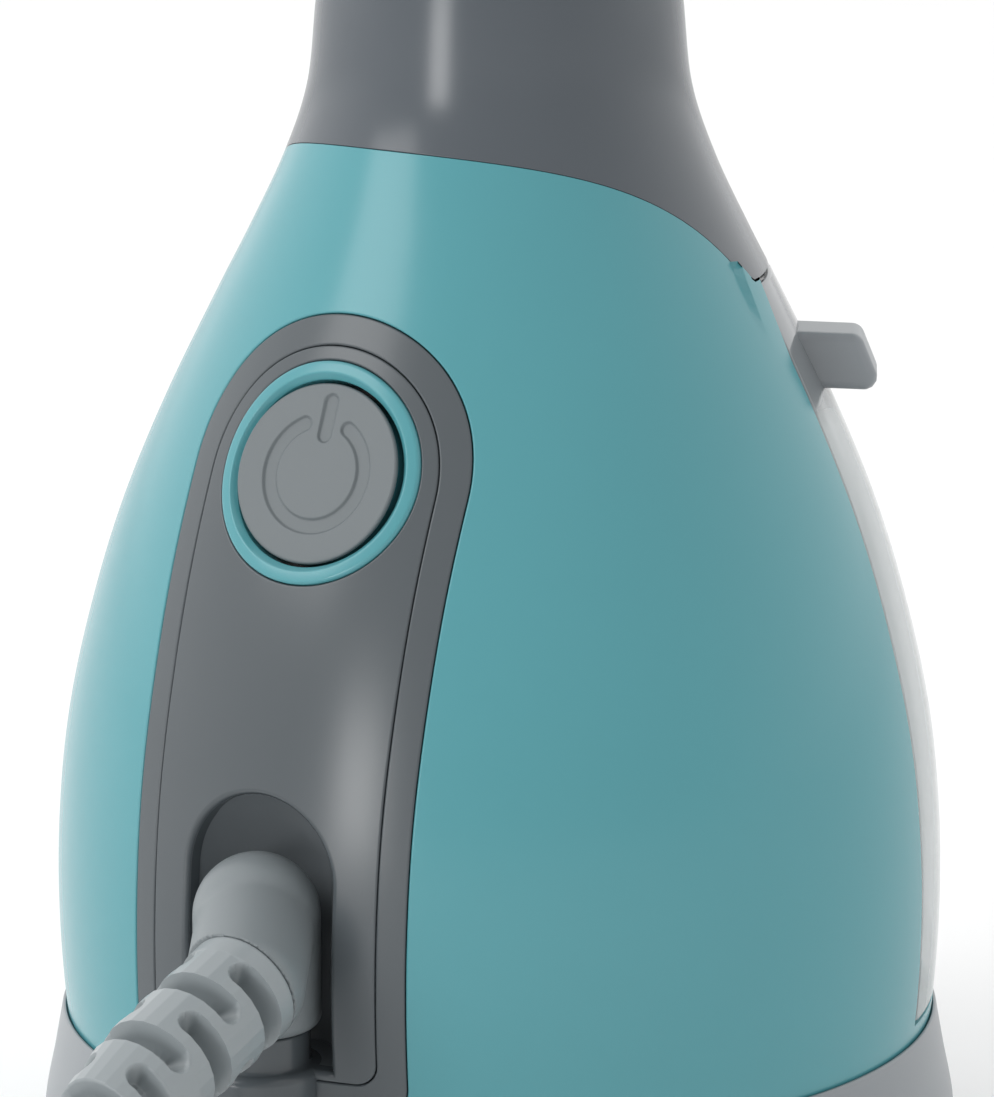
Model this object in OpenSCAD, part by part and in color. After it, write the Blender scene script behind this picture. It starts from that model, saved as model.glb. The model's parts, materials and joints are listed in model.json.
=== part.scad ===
// Hand-held wallpaper steamer: a pear-shaped body that stands on a round base, a grip with a
// trigger above it, and a tilting steam plate on the head. Millimetres, +Z up.
// The user stands behind at +Y, the steam plate faces -Y, and "left" is the -X side.
// The origin is on the axis of the body, in the plane the foot pad stands on.

/* [Body] */
// Largest radius of the body
body_r = 63.1; // [62.8:0.1:63.4]
// Wall of the moulded shells
wall = 2.4; // [2:0.1:2.6]
// Gap between neighbouring fixed parts
gap = 0.1; // [0.06:0.02:0.16]
// Height of the deck that carries the tank and the boiler
deck_z = 28.9; // [28.7:0.1:29.1]

/* [Rear panel] */
// Half width of the bezel round the rear panel
bezel_r = 22; // [21.8:0.1:22.2]
// Half width of the rear panel
panel_r = 18; // [17.8:0.1:18.2]
// Height of the panel's round top centre
panel_top_z = 111.7; // [111:0.1:112]
// Height of the power button's centre
button_z = 113.8; // [113.4:0.1:114]
// Radius of the power button
button_r = 12.5; // [12:0.1:12.6]
// Depth of the power button's seat below the curve of the panel
button_sink = 2.4; // [2:0.1:2.6]
// Travel of the power button
button_travel = 2; // [1:0.1:2.4]

/* [Cord] */
// Height where the elbow leaves the swivel's barrel
cord_z = 55; // [54.5:0.1:55.5]
// Direction of the swivel's elbow at rest, turned from +Y towards -X
elbow_turn = 28; // [20:1:35]
// Direction of the strain relief at rest, turned from +Y towards +X
boot_turn = 2; // [-2:1:10]
// Slope of the elbow and of the strain relief below level
cord_drop = 18; // [16:1:19]
// Radius of the cable
cable_r = 3.2; // [2.8:0.1:3.3]

/* [Tank] */
// Half angle of the tank, either side of the front
tank_angle = 78.3; // [77.5:0.1:79]
// Distance of the tank's back wall from the body axis
tank_back = 7; // [6.6:0.1:7.4]
// Wall of the tank
tank_wall = 2.2; // [1.8:0.1:2.4]
// Direction of the release tabs, either side of the front
tab_angle = 61; // [60:0.5:62]
// Height of the release tabs
tab_z = 121.8; // [121.4:0.1:122]
// Travel of a release tab
tab_travel = 2.5; // [1.5:0.1:2.8]

/* [Head] */
// Height of the head's axis
head_z = 262; // [261:0.5:263]
// Steam plate width
plate_w = 160; // [140:5:180]
// Steam plate height
plate_h = 100; // [90:5:104]
// Distance of the plate's tilt axis in front of the body axis
tilt_y = 52; // [52:0.1:52.5]
// Holes across the steam plate
holes_across = 9; // [5:1:10]
// Holes up the steam plate
holes_up = 5; // [3:1:6]

/* [Hidden] */
$fn = 96;
body_stations = [[10, 57.6], [18, 60.2], [25, 62], [40, 63.1], [55, 62.9], [70, 61.3], [85, 58], [100, 53.4],
    [115, 47.2], [130, 39.9], [140, 34.8], [150, 30.1], [160, 26.8], [172, 25.5], [185, 23.9], [200, 22.4],
    [216, 21.6], [232, 21.4], [258, 21.6]];
widest = 63.1;
head_stations = [[-34, 1], [-32, 8], [-27, 15], [-18, 21.4], [-5, 25.4], [9, 26], [23, 24], [35, 21.6], [44, 20]];
neck_split_z = 176;
shell_low_z = 8;
ring_low_z = 2.4;
ring_top_z = 26.6;
front_seam_z = 134.4;
tank_top_z = 133.8;
seam_start = [-5.5, 134.4];
seam_bend = [5.75, 150];
seam_end = [30, 155];
panel_low_z = 29.1;
niche_r = 12.2;
niche_floor_z = 34.5;
niche_top_z = 60;
cord_axis_y = 62;
barrel_r = 8.7;
trunnion_r = 5;
cup_low_z = 29.3;
cup_r = 9.4;
pedestal_r = 7.2;
pedestal_z = 39.4;
lead_z = 52;
elbow_r = 8.1;
elbow_length = 16.5;
boot_length = 41;
boot_pitch = 5.85;
button_ring_r = 15.5;
button_ring_in_r = 13;
tilt_up = 23.5;
port_z = 38;
port_r = 4;
cap_z = 108;
cap_r = 10.4;
trigger_pin = [-13, 231];
trigger_w = 16;
plate_back_y = -62;
plate_depth = 13;
steam_y = 4;
steam_r = 3;
boiler_low_z = 42;
boiler_top_z = 78;
screw_r = 1.6;
run_gap = 0.06;
joint_gap = 0.1;
knuckle = 0.06;
far = 300;

teal = [0.38, 0.61, 0.635];
dark_grey = [0.36, 0.385, 0.41];
mid_grey = [0.385, 0.415, 0.43];
light_grey = [0.54, 0.56, 0.575];
clear = [0.8, 0.83, 0.83, 0.35];
metal = [0.72, 0.73, 0.75];
brass = [0.78, 0.65, 0.36];
black = [0.08, 0.08, 0.09];
white = [0.88, 0.88, 0.86];

// ---- curves and helpers ----

// Point at t between b and c of a smooth curve through a, b, c and d.
function catmull(a, b, c, d, t) =
    0.5 * (2 * b + (c - a) * t + (2 * a - 5 * b + 4 * c - d) * t * t + (3 * b - a - 3 * c + d) * t * t * t);

// Smooth curve through a list of points, two steps to each span.
function smooth(p) = let (last = len(p) - 1) concat(
    [for (i = [0:last - 1]) for (t = [0, 0.5])
        catmull(p[max(i - 1, 0)], p[i], p[i + 1], p[min(i + 2, last)], t)],
    [p[last]]);

// Unit direction of a curve at its point i.
function direction(p, i) =
    let (d = p[min(i + 1, len(p) - 1)] - p[max(i - 1, 0)]) d / norm(d);

// Curve moved towards its axis by d. Points are [along the axis, radius].
function inset(p, d) = [for (i = [0:len(p) - 1]) let (t = direction(p, i)) p[i] + d * [t[1], -t[0]]];

body_curve = smooth([for (s = body_stations) [s[0], s[1] * body_r / widest]]);
head_curve = smooth(head_stations);
function body_radius(z) = lookup(z, body_curve);

// Solid of revolution about Z of a curve of [height, radius] points.
module revolve(curve) {
    first = curve[0][0];
    last = curve[len(curve) - 1][0];
    rotate_extrude()
        polygon(concat([[0, first]], [for (p = curve) [p[1], p[0]]], [[0, last]]));
}

module slab(low, high) {
    translate([-far / 2, -far / 2, low])
        cube([far, far, high - low]);
}

// The body's outside, moved inwards by depth, between two heights.
module body_solid(depth, low, high) {
    curve = inset(body_curve, depth);
    // A sunk curve starts above the body's foot, so its first radius is carried down.
    foot = depth > 0 ? [[curve[0][0] - 2, curve[0][1]]] : [];
    intersection() {
        revolve(concat(foot, curve));
        slab(low, high);
    }
}

module body_wall(low, high, thickness = wall) {
    difference() {
        body_solid(0, low, high);
        body_solid(thickness, low - 1, high + 1);
    }
}

// Half space on one side of the body's middle plane: side is 1 for +X.
module side_half(side) {
    translate([side > 0 ? gap / 2 : -far - gap / 2, -far / 2, -10])
        cube([far, far, far + 100]);
}

// Extrusion along X of an outline drawn in Y and Z.
module along_x(width) {
    rotate([90, 0, 90])
        translate([0, 0, -width / 2])
            linear_extrude(width)
                children();
}

// Everything above the line between the shells and the neck, moved up by rise.
module above_seam(rise) {
    curve = [for (t = [0:0.125:1])
        (1 - t) * (1 - t) * seam_start + 2 * t * (1 - t) * seam_bend + t * t * seam_end];
    translate([0, 0, rise])
        along_x(far)
            polygon(concat([[-100, 400], [-100, front_seam_z]], curve, [[100, seam_end[1]], [100, 400]]));
}

// The space the tank takes at the front, moved forward by shift.
module tank_zone(shift, low, high) {
    corner = tank_back * tan(tank_angle);
    reach = 90 * sin(tank_angle);
    back = 90 * cos(tank_angle);
    translate([0, -shift, low])
        linear_extrude(high - low)
            polygon([[-reach, -back], [-corner, -tank_back], [corner, -tank_back], [reach, -back],
                [reach, -120], [-reach, -120]]);
}

// Upright slot outline with a round top, cut through the back of the body.
module arch(half_width, top_z, low_z, near = 0, far_y = 100) {
    translate([0, far_y, 0])
        rotate([90, 0, 0])
            linear_extrude(far_y - near) {
                translate([0, top_z])
                    circle(half_width);
                translate([-half_width, low_z])
                    square([2 * half_width, top_z - low_z]);
            }
}

module rounded_rect(w, h, r) {
    square([w - 2 * r, h], center = true);
    square([w, h - 2 * r], center = true);
    for (x = [-1, 1], y = [-1, 1])
        translate([x * (w / 2 - r), y * (h / 2 - r)])
            circle(r);
}

module tube(r_out, r_in, h) {
    difference() {
        cylinder(h = h, r = r_out);
        translate([0, 0, -1])
            cylinder(h = h + 2, r = r_in);
    }
}

// Pan-head screw along +Z: the head's underside is at z = 0 and the shank points down.
module screw(length, r = screw_r) {
    difference() {
        cylinder(h = 1.6, r = 1.9 * r);
        for (turn = [0, 90])
            rotate([0, 0, turn])
                translate([-1.2 * r, -0.25 * r, 0.7])
                    cube([2.4 * r, 0.5 * r, 2]);
    }
    translate([0, 0, -length])
        cylinder(h = length + 0.1, r = r);
}

// Square-wire coil spring along +Z.
module coil_spring(r, wire, pitch, turns) {
    spread = 360 * wire / pitch;
    outer = r + wire / 2;
    inner = r - wire / 2;
    steps = [0:spread / 5:spread];
    linear_extrude(pitch * turns, twist = -360 * turns, slices = turns * 16, $fn = 8)
        polygon(concat([for (a = steps) outer * [cos(a), sin(a)]],
            [for (a = steps) inner * [cos(spread - a), sin(spread - a)]]));
}

// Round bar pieces that chain: each draws itself from the origin along +Z and moves its children
// to its far end.
module run(length, r) {
    translate([0, 0, joint_gap])
        cylinder(h = length - 2 * joint_gap, r = r);
    translate([0, 0, length])
        children();
}

// A bend towards local +X, turned by roll about the bar. The balls at its ends join it to the runs.
module bend(radius, angle, r, roll = 0) {
    rotate([0, 0, roll]) {
        translate([radius, 0, 0])
            rotate([90, 0, 180])
                rotate_extrude(angle = angle)
                    translate([radius, 0])
                        circle(r);
        sphere(r + knuckle);
        translate([radius * (1 - cos(angle)), 0, radius * sin(angle)])
            rotate([0, angle, 0]) {
                sphere(r + knuckle);
                rotate([0, 0, -roll])
                    children();
            }
    }
}

// Frame of the power button: +Z points out of the rear panel.
module button_frame() {
    translate([0, body_radius(button_z), button_z])
        rotate([tilt_up - 90, 0, 0])
            translate([0, 0, -button_sink])
                children();
}

// Frame of the cord where it leaves the swivel: +Z runs along the cord.
module elbow_frame() {
    translate([0, cord_axis_y, cord_z])
        rotate([0, 0, elbow_turn])
            rotate([-90 - cord_drop, 0, 0])
                children();
}

// Where the strain relief starts: the far end of the elbow.
boot_origin = [
    -elbow_length * cos(cord_drop) * sin(elbow_turn),
    cord_axis_y + elbow_length * cos(cord_drop) * cos(elbow_turn),
    cord_z - elbow_length * sin(cord_drop)
];

module cord_frame() {
    translate(boot_origin)
        rotate([0, 0, -boot_turn])
            rotate([-90 - cord_drop, 0, 0])
                children();
}

// Frame of a release tab: +X points out of the tank and Z is up.
module tab_frame(side) {
    rotate([0, 0, -90 + side * tab_angle])
        translate([0, 0, tab_z])
            children();
}

// Frame of the filler cap: +Z points out of the tank's shoulder.
module cap_frame() {
    translate([0, -body_radius(cap_z), cap_z])
        rotate([90 - tilt_up, 0, 0])
            children();
}

// Frame of the steam plate: +Y is up and +Z points forward.
module plate_frame() {
    translate([0, plate_back_y, head_z])
        rotate([90, 0, 0])
            children();
}

// ---- body ----

base_screw_ring = 48;

module at_base_screws() {
    for (a = [45:90:315])
        rotate([0, 0, a])
            translate([base_screw_ring, 0, 0])
                children();
}

// Raised wedge along the shell's edge beside the tank's shoulder.
module edge_rib(side) {
    low = 123.5;
    high = front_seam_z - gap;
    width = 7.2;
    into_tank = 2;
    start = tank_angle - 90 - into_tank;
    rotate([0, 0, side > 0 ? start : 180 - start - width - into_tank])
        rotate_extrude(angle = width + into_tank)
            polygon([[body_radius(low) - 1.5, low], [body_radius(low) - 0.2, low],
                [body_radius(high) + 0.8, high], [body_radius(high) - 1.5, high]]);
}

module body_shell() {
    color(teal)
        difference() {
            union() {
                difference() {
                    body_wall(shell_low_z, 160);
                    above_seam(-gap / 2);
                }
                for (side = [-1, 1])
                    edge_rib(side);
                intersection() {
                    body_solid(1, shell_low_z, 20);
                    at_base_screws()
                        translate([0, 0, shell_low_z])
                            difference() {
                                translate([-4, -4, 0])
                                    cube([14, 8, 12]);
                                translate([0, 0, -1])
                                    cylinder(h = 11, r = screw_r + 0.05);
                            }
                }
            }
            tank_zone(0, deck_z, 150);
            arch(bezel_r + gap, panel_top_z, panel_low_z - gap);
        }
}

module chassis() {
    depth = wall + gap;
    color(white)
        difference() {
            union() {
                body_solid(depth, deck_z - 2, deck_z - gap);
                intersection() {
                    body_solid(depth, deck_z - 0.2, tank_top_z);
                    difference() {
                        tank_zone(-2, deck_z - 1, tank_top_z);
                        tank_zone(0, deck_z - 2, 150);
                    }
                }
                for (x = [-20, 20])
                    translate([x, -3, 120])
                        cylinder(h = tank_top_z - 120, r = 3.4);
            }
            tank_zone(0, deck_z - gap / 2, 150);
            translate([0, 0, port_z])
                rotate([90, 0, 0])
                    cylinder(h = 40, r = 6.2, center = true);
            for (x = [-20, 20])
                translate([x, -3, 122])
                    cylinder(h = 20, r = screw_r + 0.05);
            above_seam(-gap);
        }
}

module neck() {
    color(dark_grey)
        difference() {
            union() {
                difference() {
                    union() {
                        body_wall(130, neck_split_z);
                        body_solid(1, 130, front_seam_z + 2.2);
                    }
                    difference() {
                        slab(100, 200);
                        above_seam(gap / 2);
                    }
                }
                // Flange inside the shells, screwed down to the chassis.
                intersection() {
                    body_solid(wall + gap, front_seam_z + gap / 2, front_seam_z + 2.2);
                    translate([-40, -20, 100])
                        cube([80, 24, 100]);
                }
            }
            translate([-12, -1, 100])
                cube([24, 20, 60]);
            for (x = [-20, 20])
                translate([x, -3, 120])
                    cylinder(h = 30, r = screw_r + 0.1);
        }
}

module neck_screws() {
    color(metal)
        for (x = [-20, 20])
            translate([x, -3, front_seam_z + 2.25])
                screw(11);
}

// ---- handle and head ----

module head_solid(depth) {
    translate([0, 0, head_z])
        rotate([90, 0, 0])
            revolve(inset(head_curve, depth));
}

handle_screw_spots = [[14, 192], [14, 226], [20, head_z + 8]];

module handle_bosses() {
    intersection() {
        union() {
            body_solid(1, neck_split_z + 1, 240);
            head_solid(1);
        }
        union() {
            for (spot = handle_screw_spots)
                along_x(60)
                    translate(spot)
                        circle(3.6);
            for (x = [-15, 15])
                translate([x, 0, 0])
                    along_x(5)
                        translate(trigger_pin)
                            circle(4.4);
        }
    }
}

module handle(side) {
    color(dark_grey)
        difference() {
            union() {
                difference() {
                    union() {
                        body_solid(0, neck_split_z + gap, 252);
                        head_solid(0);
                    }
                    body_solid(wall, neck_split_z - 1, 256);
                    head_solid(wall);
                }
                handle_bosses();
                // Fork that carries the steam plate.
                translate([side * 15, 0, 0])
                    along_x(3.6)
                        difference() {
                            union() {
                                translate([-tilt_y, head_z])
                                    circle(5);
                                translate([-tilt_y, head_z - 5])
                                    square([14, 10]);
                            }
                            translate([-tilt_y, head_z])
                                circle(2 + run_gap);
                        }
            }
            side_half(-side);
            cube([gap, 2 * far, 4 * far], center = true);
            // Trigger opening.
            translate([-trigger_w / 2 - 0.4, -40, 188])
                cube([trigger_w + 0.8, 31, 46.6]);
            // Pivot and joining screws.
            along_x(31.4)
                translate(trigger_pin)
                    circle(1.5 + run_gap);
            for (spot = handle_screw_spots) {
                translate([side < 0 ? -30 : 0, 0, 0])
                    along_x(side < 0 ? 90 : 18)
                        translate(spot)
                            circle(screw_r + 0.05);
                if (side < 0)
                    translate([-36, 0, 0])
                        along_x(52)
                            translate(spot)
                                circle(3.2);
            }
            // Steam outlet and its collar at the front of the head.
            translate([0, -60, head_z])
                rotate([-90, 0, 0])
                    cylinder(h = 30, r = 12.6);
            pad_seat(1.3, 0);
            translate([0, 18, head_z + 20])
                rotate([-35, 0, 0])
                    cylinder(h = 20, r = 3.1, center = true);
        }
}

module handle_left() {
    handle(-1);
}

module handle_right() {
    handle(1);
}

module handle_screws() {
    color(metal)
        for (spot = handle_screw_spots)
            translate([-10.4, spot[0], spot[1]])
                rotate([0, -90, 0])
                    screw(14);
}

// Zone of the soft pad on the back of the grip, sunk by depth and trimmed by margin all round.
module pad_seat(depth, margin) {
    difference() {
        intersection() {
            body_solid(-0.5, 180 + margin, 232 - margin);
            translate([0, 60, 206])
                rotate([90, 0, 0])
                    linear_extrude(56)
                        rounded_rect(37 - 2 * margin, 46 - 2 * margin, 12);
        }
        body_solid(depth, 170, 240);
    }
}

module grip_pad() {
    color(black)
        difference() {
            pad_seat(1.2, gap);
            // Room for the heads of the screws the pad hides.
            for (spot = handle_screw_spots)
                translate([-9, spot[0], spot[1]])
                    rotate([0, -90, 0])
                        cylinder(h = 3.3, r = 3.4);
        }
}

module ready_lamp() {
    color([0.9, 0.5, 0.2])
        translate([0, 18, head_z + 20])
            rotate([-35, 0, 0])
                translate([0, 0, -4]) {
                    cylinder(h = 5.4, r = 3);
                    translate([0, 0, 5.4])
                        intersection() {
                            translate([0, 0, -4])
                                sphere(5);
                            cylinder(h = 5, r = 3);
                        }
                }
}

// ---- rear panel, button and cord ----

module panel_bezel() {
    color(mid_grey)
        difference() {
            intersection() {
                body_wall(panel_low_z, 140, wall + 0.6);
                arch(bezel_r, panel_top_z, panel_low_z, 20);
            }
            arch(panel_r + gap, panel_top_z, panel_low_z - 1);
        }
}

// The pocket the cord swivel sits in, moved outwards by grow.
module niche(grow) {
    translate([0, cord_axis_y, 0]) {
        translate([0, 0, niche_floor_z - grow])
            cylinder(h = niche_top_z - niche_floor_z + grow, r = niche_r + grow);
        translate([0, 0, niche_top_z])
            sphere(niche_r + grow);
    }
}

module rear_panel() {
    color(mid_grey)
        difference() {
            union() {
                intersection() {
                    body_wall(panel_low_z + gap, 140, wall + 0.6);
                    arch(panel_r, panel_top_z, panel_low_z + gap, 20);
                }
                intersection() {
                    body_solid(0.2, panel_low_z + 1, 90);
                    niche(1.6);
                }
                // Bearing cup below the swivel.
                translate([0, cord_axis_y, cup_low_z])
                    cylinder(h = niche_floor_z - cup_low_z, r = cup_r);
            }
            difference() {
                niche(0);
                translate([0, cord_axis_y, 0])
                    cylinder(h = pedestal_z, r = pedestal_r);
            }
            translate([0, cord_axis_y, 0])
                cylinder(h = 60, r = trunnion_r + run_gap);
            translate([0, cord_axis_y, 0])
                cylinder(h = cup_low_z + 2.8, r = 7.2);
            translate([0, 60, lead_z])
                rotate([90, 0, 0])
                    cylinder(h = 20, r = 2.7);
            button_frame()
                translate([0, 0, -12])
                    cylinder(h = 30, r = button_ring_r + gap);
        }
}

module button_ring() {
    seat = 8;
    color(teal)
        button_frame()
            difference() {
                union() {
                    translate([0, 0, -seat])
                        cylinder(h = seat + 0.5, r = button_ring_r);
                    translate([0, 0, 0.5])
                        rotate_extrude()
                            translate([(button_ring_r + button_ring_in_r) / 2, 0])
                                circle((button_ring_r - button_ring_in_r) / 2, $fn = 48);
                }
                translate([0, 0, -seat + 1.6])
                    cylinder(h = 30, r = button_ring_in_r);
                translate([0, 0, -seat - 1])
                    cylinder(h = 10, r = 4);
            }
}

module power_button() {
    color(light_grey)
        button_frame()
            difference() {
                union() {
                    translate([0, 0, -2])
                        cylinder(h = 3.2, r = button_r);
                    translate([0, 0, -10])
                        cylinder(h = 9, r = 3);
                }
                // Power mark: an open ring and a bar.
                translate([0, 0, 0.8])
                    difference() {
                        cylinder(h = 2, r = 8.6);
                        translate([0, 0, -1])
                            cylinder(h = 4, r = 6.3);
                        for (turn = [-18, 18])
                            rotate([0, 0, turn])
                                translate([-2.6, 0, -1])
                                    cube([5.2, 12, 4]);
                    }
                translate([-1, 4.1, 0.8])
                    cube([2, 6.2, 2]);
            }
}

module button_spring() {
    color(metal)
        button_frame()
            translate([0, 0, -6.3])
                coil_spring(5.4, 0.6, 1, 2);
}

module power_switch() {
    color(black)
        button_frame()
            translate([-6.5, -5, -24])
                cube([13, 10, 11.8]);
}

module circuit_board() {
    color([0.2, 0.42, 0.25])
        difference() {
            translate([-26, 12, 88])
                cube([52, 1.6, 38]);
            for (x = [-23, 23], z = [91, 123])
                translate([x, 20, z])
                    rotate([90, 0, 0])
                        cylinder(h = 20, r = 1.5);
        }
    color(black) {
        translate([-20, 13.5, 104])
            cube([10, 6, 14]);
        translate([12, 13.5, 92])
            cube([10, 9, 10]);
        translate([-22, 8.6, 94])
            cube([12, 3.5, 16]);
    }
}

module cord_swivel() {
    color(light_grey)
        difference() {
            union() {
                translate([0, cord_axis_y, pedestal_z + gap])
                    cylinder(h = cord_z - pedestal_z - gap - joint_gap, r = barrel_r);
                translate([0, cord_axis_y, cord_z])
                    rotate([90, 0, 0])
                        sphere(barrel_r + knuckle);
                elbow_frame()
                    cylinder(h = elbow_length - joint_gap, r = elbow_r);
                translate(boot_origin)
                    sphere(elbow_r + knuckle);
                translate([0, cord_axis_y, cup_low_z + 0.4])
                    cylinder(h = pedestal_z - cup_low_z, r = trunnion_r);
            }
            // Room for the leads, and their way out at the back.
            translate([0, cord_axis_y, lead_z - 5])
                cylinder(h = cord_z - lead_z + 8, r = 5.4);
            translate([-4, cord_axis_y - 12, lead_z - 3.4])
                cube([8, 10, 6.8]);
            translate([0, cord_axis_y, cup_low_z + 1.2])
                tube(8, trunnion_r - 1, 1.2);
            elbow_frame()
                cylinder(h = elbow_length, r = cable_r + gap);
            elbow_frame()
                translate([0, 0, elbow_length])
                    sphere(cable_r + 0.4);
            cord_frame()
                translate([0, 0, -gap])
                    cylinder(h = 20, r = 12);
        }
}

module swivel_clip() {
    color(metal)
        translate([0, cord_axis_y, cup_low_z + 1.3])
            difference() {
                tube(6.6, trunnion_r - 0.9, 1);
                translate([-2, 0, -1])
                    cube([4, 10, 4]);
            }
}

module cord_boot() {
    slots = 6;
    collar = 3.5;
    slot = 3.4;
    straight = 22;
    color(light_grey)
        cord_frame()
            difference() {
                union() {
                    cylinder(h = straight, r = elbow_r);
                    translate([0, 0, straight])
                        cylinder(h = boot_length - straight, r1 = elbow_r, r2 = 5.6);
                }
                translate([0, 0, -1])
                    cylinder(h = far, r = cable_r + gap);
                sphere(cable_r + 0.8);
                for (i = [0:slots - 1])
                    translate([0, 0, collar + i * boot_pitch])
                        rotate([0, 0, i % 2 * 90])
                            for (turn = [0, 180])
                                rotate([0, 0, turn])
                                    translate([-9, 1.6, 0])
                                        cube([18, 9, slot]);
            }
}

// The cable: along the boot, down to the floor, round a bend and up into the plug.
floor_z = cable_r + 0.4;
boot_end_z = boot_origin[2] - boot_length * sin(cord_drop);
fall_radius = 25;
fall = 66;
// Straight piece in the fall that makes the cable land at floor_z.
link = (boot_end_z - floor_z - fall_radius * (1 + cos(cord_drop) - 2 * cos(fall))) / sin(fall);
plug_rise = 22;
plug_bend = 20;

module cord_path(r) {
    run(boot_length, r)
        bend(fall_radius, fall - cord_drop, r, roll = 90)
            run(link, r)
                bend(fall_radius, fall, r, roll = -90)
                    run(link, r)
                        bend(35, 120, r)
                            run(link, r)
                                bend(plug_bend, plug_rise, r, roll = -90)
                                    run(link, r)
                                        bend(plug_bend, plug_rise, r, roll = 90)
                                            children();
}

module power_cord() {
    color(black) {
        elbow_frame()
            translate([0, 0, 3])
                run(elbow_length - 3, cable_r);
        translate(boot_origin)
            sphere(cable_r + knuckle);
        cord_frame()
            cord_path(cable_r)
                run(3, cable_r);
    }
}

// Children at the cord's far end, without the cord.
module plug_frame() {
    level = boot_length * cos(cord_drop) + fall_radius * (2 * sin(fall) - sin(cord_drop))
        + link * (1 + cos(fall));
    arc_centre = [level, -35];
    turned = arc_centre + 35 * [sin(120), cos(120)];
    wave = 2 * plug_bend * sin(plug_rise) + link * (1 + cos(plug_rise));
    plug_z = floor_z + 2 * plug_bend * (1 - cos(plug_rise)) + link * sin(plug_rise);
    translate([boot_origin[0], boot_origin[1], plug_z])
        rotate([0, 0, 90 - boot_turn])
            translate([turned[0], turned[1], 0])
                rotate([0, 0, -120])
                    translate([wave, 0, 0])
                        rotate([0, 90, 0])
                            children();
}

module plug() {
    color(black)
        plug_frame()
            difference() {
                union() {
                    translate([0, 0, 1])
                        cylinder(h = 16, r1 = 4.4, r2 = 5.6);
                    translate([0, 0, 15])
                        linear_extrude(24)
                            rounded_rect(12, 33, 5.6);
                }
                translate([0, 0, -5])
                    cylinder(h = 8.5, r = cable_r + gap);
                for (y = [-9.5, 9.5])
                    translate([0, y, 30])
                        cylinder(h = 12, r = 2.45);
            }
}

module plug_pins() {
    color(brass)
        plug_frame()
            for (y = [-9.5, 9.5])
                translate([0, y, 30.1]) {
                    cylinder(h = 27, r = 2.4);
                    translate([0, 0, 27])
                        intersection() {
                            sphere(2.4);
                            cylinder(h = 3, r = 2.4);
                        }
                }
}

module inner_lead() {
    color(black)
        translate([0, 52.9, lead_z])
            rotate([90, 0, 0])
                run(7, 2.6)
                    bend(8, 90, 2.6)
                        run(23, 2.6)
                            bend(8, 90, 2.6, roll = 180)
                                run(7.2, 2.6);
}

module terminal_block() {
    color(white)
        difference() {
            union() {
                translate([32.4, 8, 45])
                    cube([15, 14, 14]);
                translate([40, 15, deck_z])
                    cylinder(h = 17, r = 4);
            }
            for (x = [36, 44])
                translate([x, 15, 52])
                    cylinder(h = 10, r = 2);
        }
}

// ---- base ----

module base_ring() {
    inner_lip = [[ring_top_z, 62.3], [20, 61.1], [shell_low_z, 57.3]];
    outer_curve = smooth([[ring_top_z, 62.9], [20, 64.1], [12, 65.6], [6, 65.2], [ring_low_z, 62.6]]);
    color(light_grey)
        rotate_extrude()
            polygon(concat([for (p = inner_lip) [p[1], p[0]]], [[57.3, 5.7], [61.2, 5.7], [61.2, ring_low_z]],
                [for (i = [len(outer_curve) - 1:-1:0]) [outer_curve[i][1], outer_curve[i][0]]]));
}

module base_plate() {
    color(light_grey)
        difference() {
            translate([0, 0, 1.4])
                cylinder(h = 4.2, r = 61);
            translate([0, 0, 1])
                cylinder(h = 1.5, r = 58);
            at_base_screws() {
                cylinder(h = 20, r = screw_r + 0.1);
                translate([0, 0, -1])
                    cylinder(h = 5, r = 3.4);
            }
        }
    color(light_grey)
        at_base_screws()
            translate([0, 0, 5.5])
                tube(4, screw_r + 0.1, 2.4);
}

module foot_pad() {
    color(black)
        difference() {
            cylinder(h = 2.4, r = 57.9);
            for (r = [14:8:38])
                translate([0, 0, -1])
                    tube(r + 1.5, r, 1.8);
            at_base_screws()
                translate([0, 0, -1])
                    cylinder(h = 5, r = 3.5);
        }
}

module base_screws() {
    color(metal)
        at_base_screws()
            translate([0, 0, 3.9])
                rotate([180, 0, 0])
                    screw(11);
}

// ---- tank ----

tank_gap = 0.3;

module tank_room(depth) {
    intersection() {
        body_solid(depth + 0.05, deck_z + tank_gap + depth, tank_top_z - depth);
        tank_zone(tank_gap + depth, deck_z, 150);
    }
}

module tab_pocket(grow) {
    for (side = [-1, 1])
        tab_frame(side)
            translate([30.5 - grow, -5.6 - grow, -5.2 - grow])
                cube([7.7 + 2 * grow, 11.2 + 2 * grow, 10.4 + 2 * grow]);
}

module tank() {
    color(clear)
        difference() {
            union() {
                difference() {
                    tank_room(0);
                    tank_room(tank_wall);
                }
                intersection() {
                    tank_room(0.5);
                    union() {
                        tab_pocket(1.6);
                        for (side = [-1, 1])
                            tab_frame(side)
                                translate([34, -7.2, -6.8])
                                    cube([15, 14.4, 13.6]);
                        cap_frame()
                            translate([0, 0, -11])
                                cylinder(h = 14, r = 16.4);
                        translate([0, -tank_back - 0.4, port_z])
                            rotate([90, 0, 0])
                                cylinder(h = 5, r = 8);
                    }
                }
            }
            tab_pocket(0);
            for (side = [-1, 1])
                tab_frame(side)
                    translate([35, -4.8, -4.1])
                        cube([30, 9.6, 8.2]);
            cap_frame() {
                translate([0, 0, -20])
                    cylinder(h = 30, r = cap_r + 0.08);
                translate([0, 0, -2.4])
                    cylinder(h = 30, r = 14.4);
            }
            translate([0, 0, port_z])
                rotate([90, 0, 0])
                    cylinder(h = 25, r = 5);
        }
}

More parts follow.
